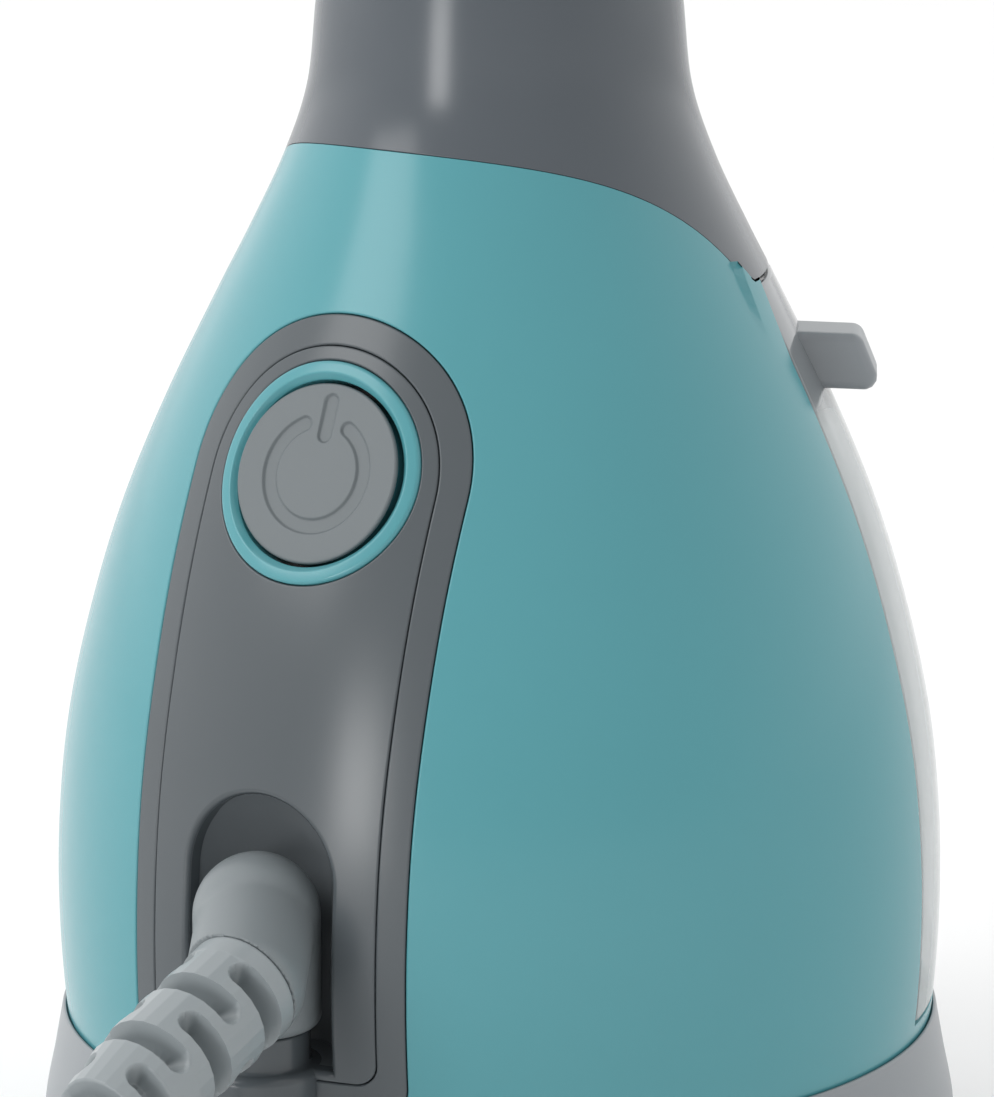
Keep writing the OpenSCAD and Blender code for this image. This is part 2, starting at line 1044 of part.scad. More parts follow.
module tank_valve() {
    color(white)
        translate([0, -tank_back - 5.45, port_z])
            rotate([-90, 0, 0])
                difference() {
                    union() {
                        cylinder(h = 9.6, r = 4.9);
                        translate([0, 0, -3])
                            cylinder(h = 3.01, r = 6.4);
                    }
                    translate([0, 0, -1])
                        cylinder(h = 20, r = 2.6);
                    for (a = [0, 90])
                        rotate([0, 0, a])
                            translate([-1.5, -10, -4])
                                cube([3, 20, 2]);
                    translate([0, 0, 6.8])
                        tube(8, 4.2, 1.6);
                }
}

module valve_seal() {
    color(black)
        translate([0, -tank_back - 5.4, port_z])
            rotate([-90, 0, 0])
                translate([0, 0, 6.9])
                    tube(5.3, 4.25, 1.4);
}

module tank_cap() {
    color(light_grey)
        cap_frame()
            difference() {
                union() {
                    translate([0, 0, -2.3])
                        cylinder(h = 2.6, r = 14.1);
                    translate([0, 0, -8])
                        cylinder(h = 6, r = cap_r);
                    intersection() {
                        translate([-2.4, -14, 0])
                            cube([4.8, 28, 4.4]);
                        cylinder(h = 10, r = 12.4);
                    }
                }
                translate([0, 0, -6.4])
                    tube(12, cap_r - 0.9, 2);
                translate([0, 0, -9])
                    cylinder(h = 5, r = 8);
            }
}

module cap_seal() {
    color(black)
        cap_frame()
            translate([0, 0, -6.3])
                tube(cap_r - 0.02, cap_r - 0.85, 1.8);
}

module release_tab(side) {
    color(light_grey)
        tab_frame(side) {
            translate([35.7, -5.4, -4.9])
                cube([1.8, 10.8, 9.8]);
            translate([0, 4.7, 0])
                rotate([90, 0, 0])
                    linear_extrude(9.4)
                        polygon([[37.4, -4], [54, -4], [50.6, 4], [37.4, 4]]);
        }
}

module release_tab_left() {
    release_tab(-1);
}

module release_tab_right() {
    release_tab(1);
}

module tab_springs() {
    color(metal)
        for (side = [-1, 1])
            tab_frame(side)
                translate([30.6, 0, 0])
                    rotate([0, 90, 0])
                        coil_spring(3.2, 0.6, 1.1, 2);
}

// ---- water and steam ----

module inlet_port() {
    color(white)
        translate([0, -2.7, port_z])
            rotate([-90, 0, 0])
                difference() {
                    union() {
                        cylinder(h = 3, r = 7.6);
                        cylinder(h = 6, r = port_r);
                    }
                    translate([0, 0, -1])
                        cylinder(h = 10, r = 2.6);
                }
}

pump_x = -38;
pump_y = 14;

module pump() {
    color(black)
        translate([pump_x, pump_y, 0]) {
            translate([0, 0, deck_z])
                cylinder(h = 28, r = 9);
            translate([0, 0, deck_z + 27.9])
                cylinder(h = 5, r = 4.5);
            translate([8, 0, port_z])
                rotate([0, 90, 0])
                    cylinder(h = 4, r = 3.4);
        }
}

module supply_tube() {
    color(white)
        translate([0, 3.4, port_z])
            rotate([-90, 0, 0])
                run(pump_y - 5 - 3.4, 2.4)
                    bend(5, 90, 2.4, roll = 180)
                        run(-pump_x - 12 - 5.2, 2.4);
}

module feed_tube() {
    color(white)
        translate([pump_x, pump_y, deck_z + 33])
            run(3, 2)
                bend(5, 90, 2)
                    run(-pump_x - 24 - 5.2, 2);
}

module at_boiler_corners() {
    for (x = [-20.5, 20.5], y = [5, 27])
        translate([x, y, 0])
            children();
}

module boiler() {
    color(metal)
        difference() {
            union() {
                translate([-24, 2, boiler_low_z])
                    cube([48, 28, boiler_top_z - boiler_low_z]);
                at_boiler_corners()
                    translate([0, 0, deck_z])
                        cylinder(h = boiler_low_z - deck_z + 1, r = 3);
            }
            translate([-18, 5.4, boiler_low_z + 4])
                cube([36, 21.2, far]);
            at_boiler_corners()
                translate([0, 0, boiler_top_z - 12])
                    cylinder(h = 20, r = screw_r + 0.05);
            translate([-30, pump_y, deck_z + 41])
                rotate([0, 90, 0])
                    cylinder(h = 15, r = 1.9);
            for (y = [10, 22])
                translate([15, y, 54])
                    rotate([0, 90, 0])
                        cylinder(h = 20, r = 2.66);
        }
}

module boiler_lid() {
    color(metal)
        difference() {
            translate([-24, 2, boiler_top_z + gap])
                cube([48, 28, 3.4]);
            at_boiler_corners()
                translate([0, 0, 60])
                    cylinder(h = 40, r = screw_r + 0.1);
            for (spot = [[0, steam_y + 2.6], [14, 20]])
                translate([spot[0], spot[1], 60])
                    cylinder(h = 40, r = 2);
        }
}

module lid_screws() {
    color(metal)
        at_boiler_corners()
            translate([0, 0, boiler_top_z + gap + 3.45])
                screw(12);
}

module heating_element() {
    color(metal)
        translate([32, 10, 54])
            rotate([0, -90, 0])
                run(38, 2.6)
                    bend(6, 180, 2.6, roll = 90)
                        run(38, 2.6);
}

module thermostat() {
    color(black)
        translate([-9, 21, boiler_top_z + 3.6]) {
            cylinder(h = 5, r = 6.6);
            translate([0, 0, 4.9])
                cylinder(h = 1.6, r = 4.5);
        }
}

module thermal_fuse() {
    color(brass)
        translate([-4, 33.1, 50])
            rotate([0, 90, 0])
                cylinder(h = 14, r = 2.6, center = true);
}

module safety_valve() {
    color(brass)
        translate([14, 20, boiler_top_z + 3.6]) {
            cylinder(h = 3, r = 4.6, $fn = 6);
            translate([0, 0, 2.9])
                cylinder(h = 5, r = 3);
            translate([0, 0, -6])
                cylinder(h = 6.1, r = 1.9);
        }
}

// Steam tube: from the boiler lid up the neck and grip, then forward to the ball at the plate.
module steam_tube() {
    rise = head_z - boiler_top_z - 3.7;
    color(white)
        difference() {
            union() {
                translate([0, steam_y + 2.6, boiler_top_z + 3.7]) {
                    cylinder(h = rise, r = steam_r);
                    translate([0, 0, rise])
                        sphere(steam_r);
                    translate([0, 0, rise])
                        rotate([90, 0, 0])
                            cylinder(h = tilt_y + steam_y - 4, r = steam_r);
                }
                translate([0, -tilt_y, head_z])
                    sphere(8);
                translate([0, -40, head_z])
                    rotate([90, 0, 0])
                        cylinder(h = 6, r = 6);
            }
            translate([0, -tilt_y - 9, head_z])
                rotate([-90, 0, 0])
                    cylinder(h = 30, r = 2);
        }
}

// ---- trigger ----

module trigger() {
    reach = 22;
    middle_z = 210;
    half = 19;
    face = [for (t = [1:-0.25:-1]) [-(reach + 4.5 * t * t), middle_z + half * t]];
    color(teal)
        difference() {
            union() {
                along_x(trigger_w)
                    polygon(concat([[-15, 191], [-14, 228], [-18, 233.4]], [[-24, 232]], face));
                along_x(trigger_w)
                    translate(trigger_pin)
                        circle(3.2);
                translate([-3, -15.5, 204])
                    cube([6, 4.2, 6]);
            }
            along_x(trigger_w + 2)
                translate(trigger_pin)
                    circle(1.5 + run_gap);
        }
}

module trigger_pivot() {
    color(metal)
        along_x(31)
            translate(trigger_pin)
                circle(1.5);
}

module trigger_spring() {
    color(metal)
        translate([8.7, trigger_pin[0], trigger_pin[1]])
            rotate([0, 90, 0])
                coil_spring(2.3, 0.6, 1, 2);
}

module steam_switch() {
    color(black) {
        translate([-5, -6.4, 200])
            cube([10, 8.2, 15]);
        translate([-1.5, -7.4, 206])
            cube([3, 1.1, 2.6]);
    }
}

// ---- steam plate ----

module at_plate_screws() {
    for (x = [-1, 1], y = [-1, 1])
        translate([x * (plate_w / 2 - 12), y * (plate_h / 2 - 12), 0])
            children();
}

module plate_housing() {
    lug = -plate_back_y - tilt_y;
    color(teal)
        plate_frame()
            difference() {
                union() {
                    linear_extrude(plate_depth)
                        rounded_rect(plate_w, plate_h, 14);
                    for (x = [-20.5, 20.5])
                        translate([x, 0, 0])
                            rotate([0, 90, 0])
                                translate([0, 0, -1.8])
                                    linear_extrude(3.6) {
                                        translate([lug, 0])
                                            circle(5);
                                        translate([0, -5])
                                            square([lug, 10]);
                                    }
                    translate([0, 0, -8])
                        cylinder(h = 9, r = 11);
                }
                translate([0, 0, 3])
                    linear_extrude(plate_depth)
                        rounded_rect(plate_w - 6, plate_h - 6, 11);
                translate([0, 0, -lug])
                    sphere(8.1);
                translate([0, 0, -20])
                    cylinder(h = 30, r = 4);
                at_plate_screws()
                    translate([0, 0, -1])
                        cylinder(h = 6, r = screw_r + 0.1);
                rotate([0, 90, 0])
                    translate([lug, 0, -30])
                        cylinder(h = 60, r = 2 + run_gap);
            }
}

module plate_pivots() {
    color(metal)
        for (x = [-17.8, 17.8])
            translate([x, 0, 0])
                along_x(8.6)
                    translate([-tilt_y, head_z])
                        circle(2);
}

module steam_face() {
    pitch_x = (plate_w - 24) / holes_across;
    pitch_y = (plate_h - 20) / holes_up;
    color(metal)
        plate_frame()
            difference() {
                union() {
                    translate([0, 0, plate_depth - 1.4])
                        linear_extrude(3)
                            rounded_rect(plate_w - 6.4, plate_h - 6.4, 10.8);
                    at_plate_screws()
                        translate([0, 0, 3.1])
                            cylinder(h = plate_depth - 4.4, r = 3.4);
                }
                translate([0, 0, plate_depth - 2])
                    linear_extrude(2)
                        rounded_rect(plate_w - 34, plate_h - 34, 6);
                for (i = [0:holes_across - 1], j = [0:holes_up - 1])
                    if ((i > 0 && i < holes_across - 1) || (j > 0 && j < holes_up - 1))
                        translate([(i - (holes_across - 1) / 2) * pitch_x,
                            (j - (holes_up - 1) / 2) * pitch_y, 0])
                            cylinder(h = 30, r = 1.8);
                at_plate_screws()
                    translate([0, 0, 2])
                        cylinder(h = 7, r = screw_r + 0.05);
            }
}

module plate_seal() {
    color(black)
        plate_frame()
            translate([0, 0, plate_depth + 0.1])
                difference() {
                    linear_extrude(3)
                        rounded_rect(plate_w, plate_h, 14);
                    translate([0, 0, -1])
                        linear_extrude(5)
                            rounded_rect(plate_w - 6, plate_h - 6, 11);
                }
}

module plate_screws() {
    color(metal)
        plate_frame()
            at_plate_screws()
                translate([0, 0, -0.1])
                    rotate([180, 0, 0])
                        screw(8);
}

body_shell();
neck();
handle_left();
handle_right();
grip_pad();
handle_screws();
panel_bezel();
rear_panel();
button_ring();
power_button();
button_spring();
power_switch();
circuit_board();
cord_swivel();
swivel_clip();
cord_boot();
power_cord();
plug();
plug_pins();
inner_lead();
terminal_block();
base_ring();
base_plate();
foot_pad();
base_screws();
chassis();
neck_screws();
tank();
tank_valve();
valve_seal();
tank_cap();
cap_seal();
release_tab_left();
release_tab_right();
tab_springs();
inlet_port();
pump();
supply_tube();
feed_tube();
boiler();
boiler_lid();
lid_screws();
heating_element();
thermostat();
thermal_fuse();
safety_valve();
steam_tube();
trigger();
trigger_pivot();
trigger_spring();
steam_switch();
plate_housing();
plate_pivots();
steam_face();
plate_seal();
plate_screws();
ready_lamp();
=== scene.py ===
"""Looks of the hand-held wallpaper steamer: smooth pieces, materials, floor, light and camera.

Lengths in this file are millimetres, and become metres when a mesh is made. The frame is the
CAD's: +Z up, the steam plate at -Y, the rear panel at +Y. An angle round the body runs from +Y
towards -X, so it grows to the right when the rear panel is looked at.
"""

import json
import math
import bmesh
import bpy
import numpy as np
from mathutils import Matrix, Vector
from mathutils.geometry import delaunay_2d_cdt


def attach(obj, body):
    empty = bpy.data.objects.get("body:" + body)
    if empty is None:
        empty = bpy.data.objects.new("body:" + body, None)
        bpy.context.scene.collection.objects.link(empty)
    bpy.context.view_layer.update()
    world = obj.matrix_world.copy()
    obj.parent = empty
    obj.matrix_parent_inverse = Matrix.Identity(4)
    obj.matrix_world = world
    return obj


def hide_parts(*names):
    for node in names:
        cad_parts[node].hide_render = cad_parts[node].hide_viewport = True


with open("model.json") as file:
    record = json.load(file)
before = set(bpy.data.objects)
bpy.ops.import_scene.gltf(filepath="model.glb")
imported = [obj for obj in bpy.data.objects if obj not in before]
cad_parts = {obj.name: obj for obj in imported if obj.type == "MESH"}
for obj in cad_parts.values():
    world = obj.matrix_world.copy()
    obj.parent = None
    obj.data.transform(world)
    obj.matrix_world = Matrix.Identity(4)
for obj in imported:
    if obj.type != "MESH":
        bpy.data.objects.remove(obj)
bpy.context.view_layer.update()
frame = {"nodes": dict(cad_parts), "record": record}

MM = 0.001

# ---- dimensions shared with the CAD ----

BODY_STATIONS = [(10, 57.6), (18, 60.2), (25, 62), (40, 63.1), (55, 62.9), (70, 61.3), (85, 58), (100, 53.4),
                 (115, 47.2), (130, 39.9), (140, 34.8), (150, 30.1), (160, 26.8), (172, 25.5), (185, 23.9),
                 (200, 22.4), (216, 21.6), (232, 21.4), (258, 21.6)]
WALL = 2.4
DECK_Z = 28.9
NECK_SPLIT_Z = 176.0
TANK_HALF = math.radians(78.3)
TANK_EDGE = math.pi - TANK_HALF
TANK_TOP_Z = 133.8
TANK_BACK = 7.0
TANK_BACK_HALF = 33.8
TANK_GAP = 0.3
SEAM = np.array([(-5.5, 134.4), (5.75, 150.0), (30.0, 155.0)])
BEZEL_R = 22.0
PANEL_R = 18.0
PANEL_TOP_Z = 111.7
PANEL_LOW_Z = 29.1
BUTTON_Z = 113.8
BUTTON_SINK = 2.4
BUTTON_R = 12.5
RING_R = 15.5
RING_IN_R = 13.0
TILT_UP = math.radians(23.5)
NICHE_R = 11.7
NICHE_TOP_Z = 60.0
NICHE_FLOOR_Z = 34.5
CORD_Y = 62.0
CORD_Z = 55.0
ELBOW_TURN = math.radians(28)
ELBOW_LENGTH = 16.5
ELBOW_R = 8.1
BOOT_TURN = math.radians(2)
BOOT_LENGTH = 41.0
CORD_DROP = math.radians(18)
BARREL_R = 8.7
CABLE_R = 3.2
TAB_Z = 121.8
TAB_ANGLE = math.radians(61)


# ---- curves ----

def smooth_curve(stations, steps=24):
    """Catmull-Rom curve through the stations, as the CAD draws it, sampled densely."""
    p = np.array(stations, float)
    out = []
    last = len(p) - 1
    for i in range(last):
        a, b, c, d = p[max(i - 1, 0)], p[i], p[i + 1], p[min(i + 2, last)]
        for t in np.arange(steps) / steps:
            out.append(0.5 * (2 * b + (c - a) * t + (2 * a - 5 * b + 4 * c - d) * t ** 2
                              + (3 * b - a - 3 * c + d) * t ** 3))
    out.append(p[last])
    return np.array(out)


class Profile:
    """Radius and slope along an axis."""

    def __init__(self, stations):
        curve = smooth_curve(stations)
        self.x = curve[:, 0]
        self.r = curve[:, 1]
        slope = np.gradient(self.r, self.x)
        kernel = np.ones(13) / 13
        padded = np.pad(slope, 6, mode="edge")
        self.slope = np.convolve(padded, kernel, mode="valid")

    def radius(self, x):
        return np.interp(x, self.x, self.r)

    def slope_at(self, x):
        return np.interp(x, self.x, self.slope)


BODY = Profile(BODY_STATIONS)


def on_body(angle, z, depth=0.0):
    """Points and outward normals of the body surface."""
    angle, z = np.asarray(angle, float), np.asarray(z, float)
    r = BODY.radius(z)
    s = BODY.slope_at(z)
    n = np.stack([-np.sin(angle), np.cos(angle), -s], -1) / np.sqrt(1 + s * s)[..., None]
    p = np.stack([-r * np.sin(angle), r * np.cos(angle), z], -1)
    return p - n * depth, n


def angle_of(p):
    return np.arctan2(-p[..., 0], p[..., 1])


def seam_height(angle):
    """Height of the line between shell and neck, at angles round the body."""
    t = np.linspace(0, 1, 400)[:, None]
    curve = (1 - t) ** 2 * SEAM[0] + 2 * t * (1 - t) * SEAM[1] + t ** 2 * SEAM[2]
    cosine = np.clip(curve[:, 0] / BODY.radius(curve[:, 1]), -1, 1)
    around = np.arccos(cosine)
    keep = curve[:, 0] <= BODY.radius(curve[:, 1])
    order = np.argsort(around[keep])
    return np.interp(np.abs(angle), around[keep][order], curve[keep][:, 1][order])


# ---- meshes ----

def make_object(name, verts, faces, normals=None, sharp=40):
    """Mesh object from millimetre vertices, smooth shaded, with given normals or sharp creases."""
    mesh = bpy.data.meshes.new(name)
    mesh.from_pydata((np.asarray(verts) * MM).tolist(), [], [list(f) for f in faces])
    mesh.validate()
    mesh.polygons.foreach_set("use_smooth", [True] * len(mesh.polygons))
    if normals is not None:
        mesh.normals_split_custom_set_from_vertices(np.asarray(normals).tolist())
    else:
        mesh.set_sharp_from_angle(angle=math.radians(sharp))
    mesh.update()
    obj = bpy.data.objects.new(name, mesh)
    bpy.context.collection.objects.link(obj)
    return obj


def inside(points, loops):
    """Even-odd test of points against closed loops."""
    hit = np.zeros(len(points), bool)
    x, y = points[:, 0], points[:, 1]
    for loop in loops:
        a = loop
        b = np.roll(loop, -1, axis=0)
        for (x0, y0), (x1, y1) in zip(a, b):
            if y0 == y1:
                continue
            crosses = (y0 > y) != (y1 > y)
            hit ^= crosses & (x < (x1 - x0) * (y - y0) / (y1 - y0) + x0)
    return hit


def spaced(points, step):
    """The polyline resampled at about step, keeping its corners."""
    out = []
    for a, b in zip(points[:-1], points[1:]):
        n = max(1, int(round(np.linalg.norm(b - a) / step)))
        for k in range(n):
            out.append(a + (b - a) * k / n)
    out.append(points[-1])
    return np.array(out)


FLAT_R = 60.0  # radius used to unroll angles to millimetres


def body_patch(name, loops, depth=WALL, edge=0.35, grid=1.7, turn=0.0, proud=None, closed_back=True):
    """A solid piece of the body's skin.

    loops are closed outlines of [angle, z]: the outer one runs anticlockwise as seen from outside
    and holes run clockwise. A third column of 1 marks points on an edge that stays open.
    proud, if given, is a function of angle and z that lifts the surface.
    """
    verts, normals, faces = [], [], []

    def add(points, norms):
        start = len(verts)
        verts.extend(points)
        normals.extend(norms)
        return list(range(start, start + len(points)))

    def surface(angle, z, sink=0.0):
        p, n = on_body(angle + turn, z, sink)
        if proud is not None:
            p = p + n * proud(angle + turn, z)[..., None]
        return p, n

    inner_loops, strips = [], []
    edges_mm = edge if isinstance(edge, (list, tuple)) else [edge] * len(loops)
    for loop, edge_mm in zip(loops, edges_mm):
        loop = np.asarray(loop, float)
        is_open = loop[:, 2] > 0 if loop.shape[1] > 2 else np.zeros(len(loop), bool)
        angle, z = loop[:, 0], loop[:, 1]
        p, n = surface(angle, z)
        before = np.roll(p, 1, axis=0)
        after = np.roll(p, -1, axis=0)
        into = p - before
        out = after - p
        into /= np.linalg.norm(into, axis=1)[:, None] + 1e-9
        out /= np.linalg.norm(out, axis=1)[:, None] + 1e-9
        side_in = np.cross(n, into)
        side_out = np.cross(n, out)
        open_in = is_open & np.roll(is_open, 1)
        open_out = is_open & np.roll(is_open, -1)
        side_in = np.where((open_in & ~open_out)[:, None], side_out, side_in)
        side_out = np.where((open_out & ~open_in)[:, None], side_in, side_out)
        b = side_in + side_out
        b /= np.linalg.norm(b, axis=1)[:, None] + 1e-9
        miter = 1 / np.clip(np.sum(b * side_in, axis=1), 0.5, 1)
        offset = np.where(open_in & open_out, 0, edge_mm * miter)
        q = p + b * offset[:, None]
        q_angle = angle_of(q) - turn
        q_angle = angle + (q_angle - angle + math.pi) % (2 * math.pi) - math.pi
        q_angle = np.where(is_open, angle, q_angle)
        inner_loops.append(np.stack([q_angle * FLAT_R, q[:, 2]], -1))
        strips.append((p, n, b, offset, q, open_out))

    # Interior points on a grid, kept clear of the outlines.
    low = np.min([l.min(0) for l in inner_loops], axis=0)
    high = np.max([l.max(0) for l in inner_loops], axis=0)
    xs = np.arange(low[0] + grid * 0.5, high[0], grid)
    ys = np.arange(low[1] + grid * 0.5, high[1], grid)
    points = np.stack(np.meshgrid(xs, ys), -1).reshape(-1, 2)
    points = points[inside(points, inner_loops)]
    border = np.concatenate(inner_loops)
    near = np.zeros(len(points), bool)
    for chunk in np.array_split(border, max(1, len(border) // 50)):
        d = np.linalg.norm(points[:, None] - chunk[None], axis=2).min(axis=1)
        near |= d < grid * 0.55
    points = points[~near]

    coords = [Vector(v) for v in np.concatenate(inner_loops + [points])]
    edges, start = [], 0
    for loop in inner_loops:
        n = len(loop)
        edges += [(start + i, start + (i + 1) % n) for i in range(n)]
        start += n
    out_verts, _, out_faces, orig, _, _ = delaunay_2d_cdt(coords, edges, [], 0, 1e-6)
    flat = np.array([(v.x, v.y) for v in out_verts])
    tris = np.array([f for f in out_faces if len(f) == 3])
    centre = flat[tris].mean(axis=1)
    tris = tris[inside(centre, inner_loops)]
    area = ((flat[tris[:, 1]] - flat[tris[:, 0]])[:, 0] * (flat[tris[:, 2]] - flat[tris[:, 0]])[:, 1]
            - (flat[tris[:, 1]] - flat[tris[:, 0]])[:, 1] * (flat[tris[:, 2]] - flat[tris[:, 0]])[:, 0])
    tris[area < 0] = tris[area < 0][:, ::-1]
    source = {}
    for i, o in enumerate(orig):
        for k in o:
            source[k] = i

    p, n = surface(flat[:, 0] / FLAT_R, flat[:, 1])
    front = add(p, n)
    faces += [[front[k] for k in t] for t in tris]
    if closed_back:
        p, n = surface(flat[:, 0] / FLAT_R, flat[:, 1], depth)
        back = add(p, -n)
        faces += [[back[k] for k in t[::-1]] for t in tris]

    # Rounded edge and side wall of each outline.
    start = 0
    for (p, n, b, offset, q, open_out), loop in zip(strips, inner_loops):
        count = len(loop)
        rows = [[front[source[start + i]] for i in range(count)]]
        e = offset[:, None]
        for theta in np.radians([22.5, 45, 67.5, 90]):
            norm = n * math.cos(theta) - b * math.sin(theta)
            rows.append(add(p + b * e - n * e + norm * e, norm))
        if closed_back:
            rows.append(add(p - n * (depth - 0.05), -b))
            rows.append(add(p - n * depth, -b))
            rows.append([back[source[start + i]] for i in range(count)])
        else:
            rows.append(add(p - n * depth, -b))
        for upper, lower in zip(rows[:-1], rows[1:]):
            for i in range(count):
                if open_out[i]:
                    continue
                j = (i + 1) % count
                faces.append([upper[i], lower[i], lower[j], upper[j]])
        start += count
    return make_object(name, verts, faces, normals)


def arch_loop(half_width, top_z, low_z, corner=0.0, step=1.0, clockwise=False):
    """Upright slot on the body, seen along Y: [angle, z] points anticlockwise from the lower left."""
    turns = np.linspace(0, math.pi, max(12, int(math.pi * half_width / step)))
    top = np.stack([half_width * np.cos(turns), top_z + half_width * np.sin(turns)], -1)
    if corner > 0:
        quarter = np.linspace(0, math.pi / 2, 8)
        right = np.stack([half_width - corner + corner * np.sin(quarter),
                          low_z + corner - corner * np.cos(quarter)], -1)
        left = np.stack([-half_width + corner - corner * np.cos(quarter),
                         low_z + corner - corner * np.sin(quarter)], -1)
    else:
        right = np.array([[half_width, low_z]])
        left = np.array([[-half_width, low_z]])
    outline = np.concatenate([right, top, left, right[:1]])
    outline = spaced(outline, step)[:-1]
    x, z = outline[:, 0], outline[:, 1]
    angle = np.arcsin(np.clip(x / BODY.radius(z), -1, 1))
    loop = np.stack([angle, z], -1)
    return loop[::-1] if clockwise else loop


def lathe(name, profile, segments=96, matrix=None, sharp=30):
    """Solid of revolution about Z of closed [radius, height] outline points, given anticlockwise."""
    profile = np.array(profile, float)
    n = len(profile)
    turns = np.arange(segments) * 2 * math.pi / segments
    verts = np.stack([np.outer(np.cos(turns), profile[:, 0]), np.outer(np.sin(turns), profile[:, 0]),
                      np.tile(profile[:, 1], (segments, 1))], -1).reshape(-1, 3)
    faces = []
    for i in range(segments):
        j = (i + 1) % segments
        for k in range(n):
            m = (k + 1) % n
            if profile[k, 0] < 1e-6 and profile[m, 0] < 1e-6:
                continue
            faces.append([i * n + k, j * n + k, j * n + m, i * n + m])
    if matrix is not None:
        verts = verts @ np.array(matrix.to_3x3()).T + np.array(matrix.translation)
    obj = make_object(name, verts, faces, sharp=sharp)
    clean(obj)
    return obj


def clean(obj, distance=1e-7):
    """Merges doubled points and points every face outwards."""
    bm = bmesh.new()
    bm.from_mesh(obj.data)
    bmesh.ops.remove_doubles(bm, verts=bm.verts, dist=distance)
    bmesh.ops.dissolve_degenerate(bm, edges=bm.edges, dist=distance)
    bmesh.ops.recalc_face_normals(bm, faces=bm.faces)
    bm.to_mesh(obj.data)
    bm.free()


def fillet(corner, before, after, radius, steps=5):
    """Arc that rounds a corner of an outline."""
    corner, before, after = (np.array(v, float) for v in (corner, before, after))
    u = (before - corner) / np.linalg.norm(before - corner)
    v = (after - corner) / np.linalg.norm(after - corner)
    half = math.acos(np.clip(np.dot(u, v), -1, 1)) / 2
    reach = radius / math.tan(half)
    centre = corner + (u + v) / np.linalg.norm(u + v) * radius / math.sin(half)
    a = corner + u * reach - centre
    b = corner + v * reach - centre
    out = []
    for t in np.linspace(0, 1, steps + 1):
        w = a * (1 - t) + b * t
        out.append(centre + w / np.linalg.norm(w) * radius)
    return out


def rounded(outline, radii, steps=5):
    """Closed outline with each corner rounded by its own radius, 0 for a sharp one."""
    out = []
    n = len(outline)
    for i, r in enumerate(radii):
        if r <= 0:
            out.append(np.array(outline[i], float))
        else:
            out += fillet(outline[i], outline[i - 1], outline[(i + 1) % n], r, steps)
    return out


def axis_matrix(origin, z_axis, x_hint=(1, 0, 0)):
    z = Vector(z_axis).normalized()
    x = (Vector(x_hint) - z * Vector(x_hint).dot(z)).normalized()
    y = z.cross(x)
    m = Matrix.Identity(4)
    for i, v in enumerate((x, y, z)):
        m[0][i], m[1][i], m[2][i] = v
    m.translation = Vector(origin)
    return m


def sweep(name, path, radius, segments=24):
    """Round bar along a path of points, closed at both ends."""
    path = np.array(path, float)
    tangent = np.gradient(path, axis=0)
    tangent /= np.linalg.norm(tangent, axis=1)[:, None]
    side = np.cross(tangent[0], [0.3, 0.2, 1.0])
    verts, faces = [], []
    turns = np.arange(segments) * 2 * math.pi / segments
    radius = np.broadcast_to(radius, (len(path),))
    for p, t, r in zip(path, tangent, radius):
        side = side - t * np.dot(side, t)
        side /= np.linalg.norm(side)
        other = np.cross(t, side)
        verts.extend(p + r * (np.outer(np.cos(turns), side) + np.outer(np.sin(turns), other)))
    for i in range(len(path) - 1):
        for k in range(segments):
            m = (k + 1) % segments
            faces.append([i * segments + k, i * segments + m, (i + 1) * segments + m, (i + 1) * segments + k])
    faces.append(list(range(segments))[::-1])
    faces.append([(len(path) - 1) * segments + k for k in range(segments)])
    return make_object(name, verts, faces, sharp=50)


BUTTON_AXIS = Vector((0, math.cos(TILT_UP), math.sin(TILT_UP)))
BUTTON_ORIGIN = Vector((0, float(BODY.radius(BUTTON_Z)), BUTTON_Z)) - BUTTON_AXIS * BUTTON_SINK
BUTTON_FRAME = axis_matrix(BUTTON_ORIGIN, BUTTON_AXIS, (-1, 0, 0))


def heading(turn):
    """Direction sloping down by the cord's drop, turned from +Y towards +X."""
    return Vector((math.sin(turn) * math.cos(CORD_DROP), math.cos(turn) * math.cos(CORD_DROP),
                   -math.sin(CORD_DROP)))


ELBOW_AXIS = heading(-ELBOW_TURN)
CORD_AXIS = heading(BOOT_TURN)
BOOT_ORIGIN = Vector((0, CORD_Y, CORD_Z)) + ELBOW_AXIS * ELBOW_LENGTH
CORD_FRAME = axis_matrix(BOOT_ORIGIN, CORD_AXIS, (math.cos(BOOT_TURN), -math.sin(BOOT_TURN), 0))


# ---- materials ----

def srgb(*rgb):
    out = []
    for v in rgb:
        c = v / 255
        out.append(c / 12.92 if c <= 0.04045 else ((c + 0.055) / 1.055) ** 2.4)
    return (*out, 1.0)


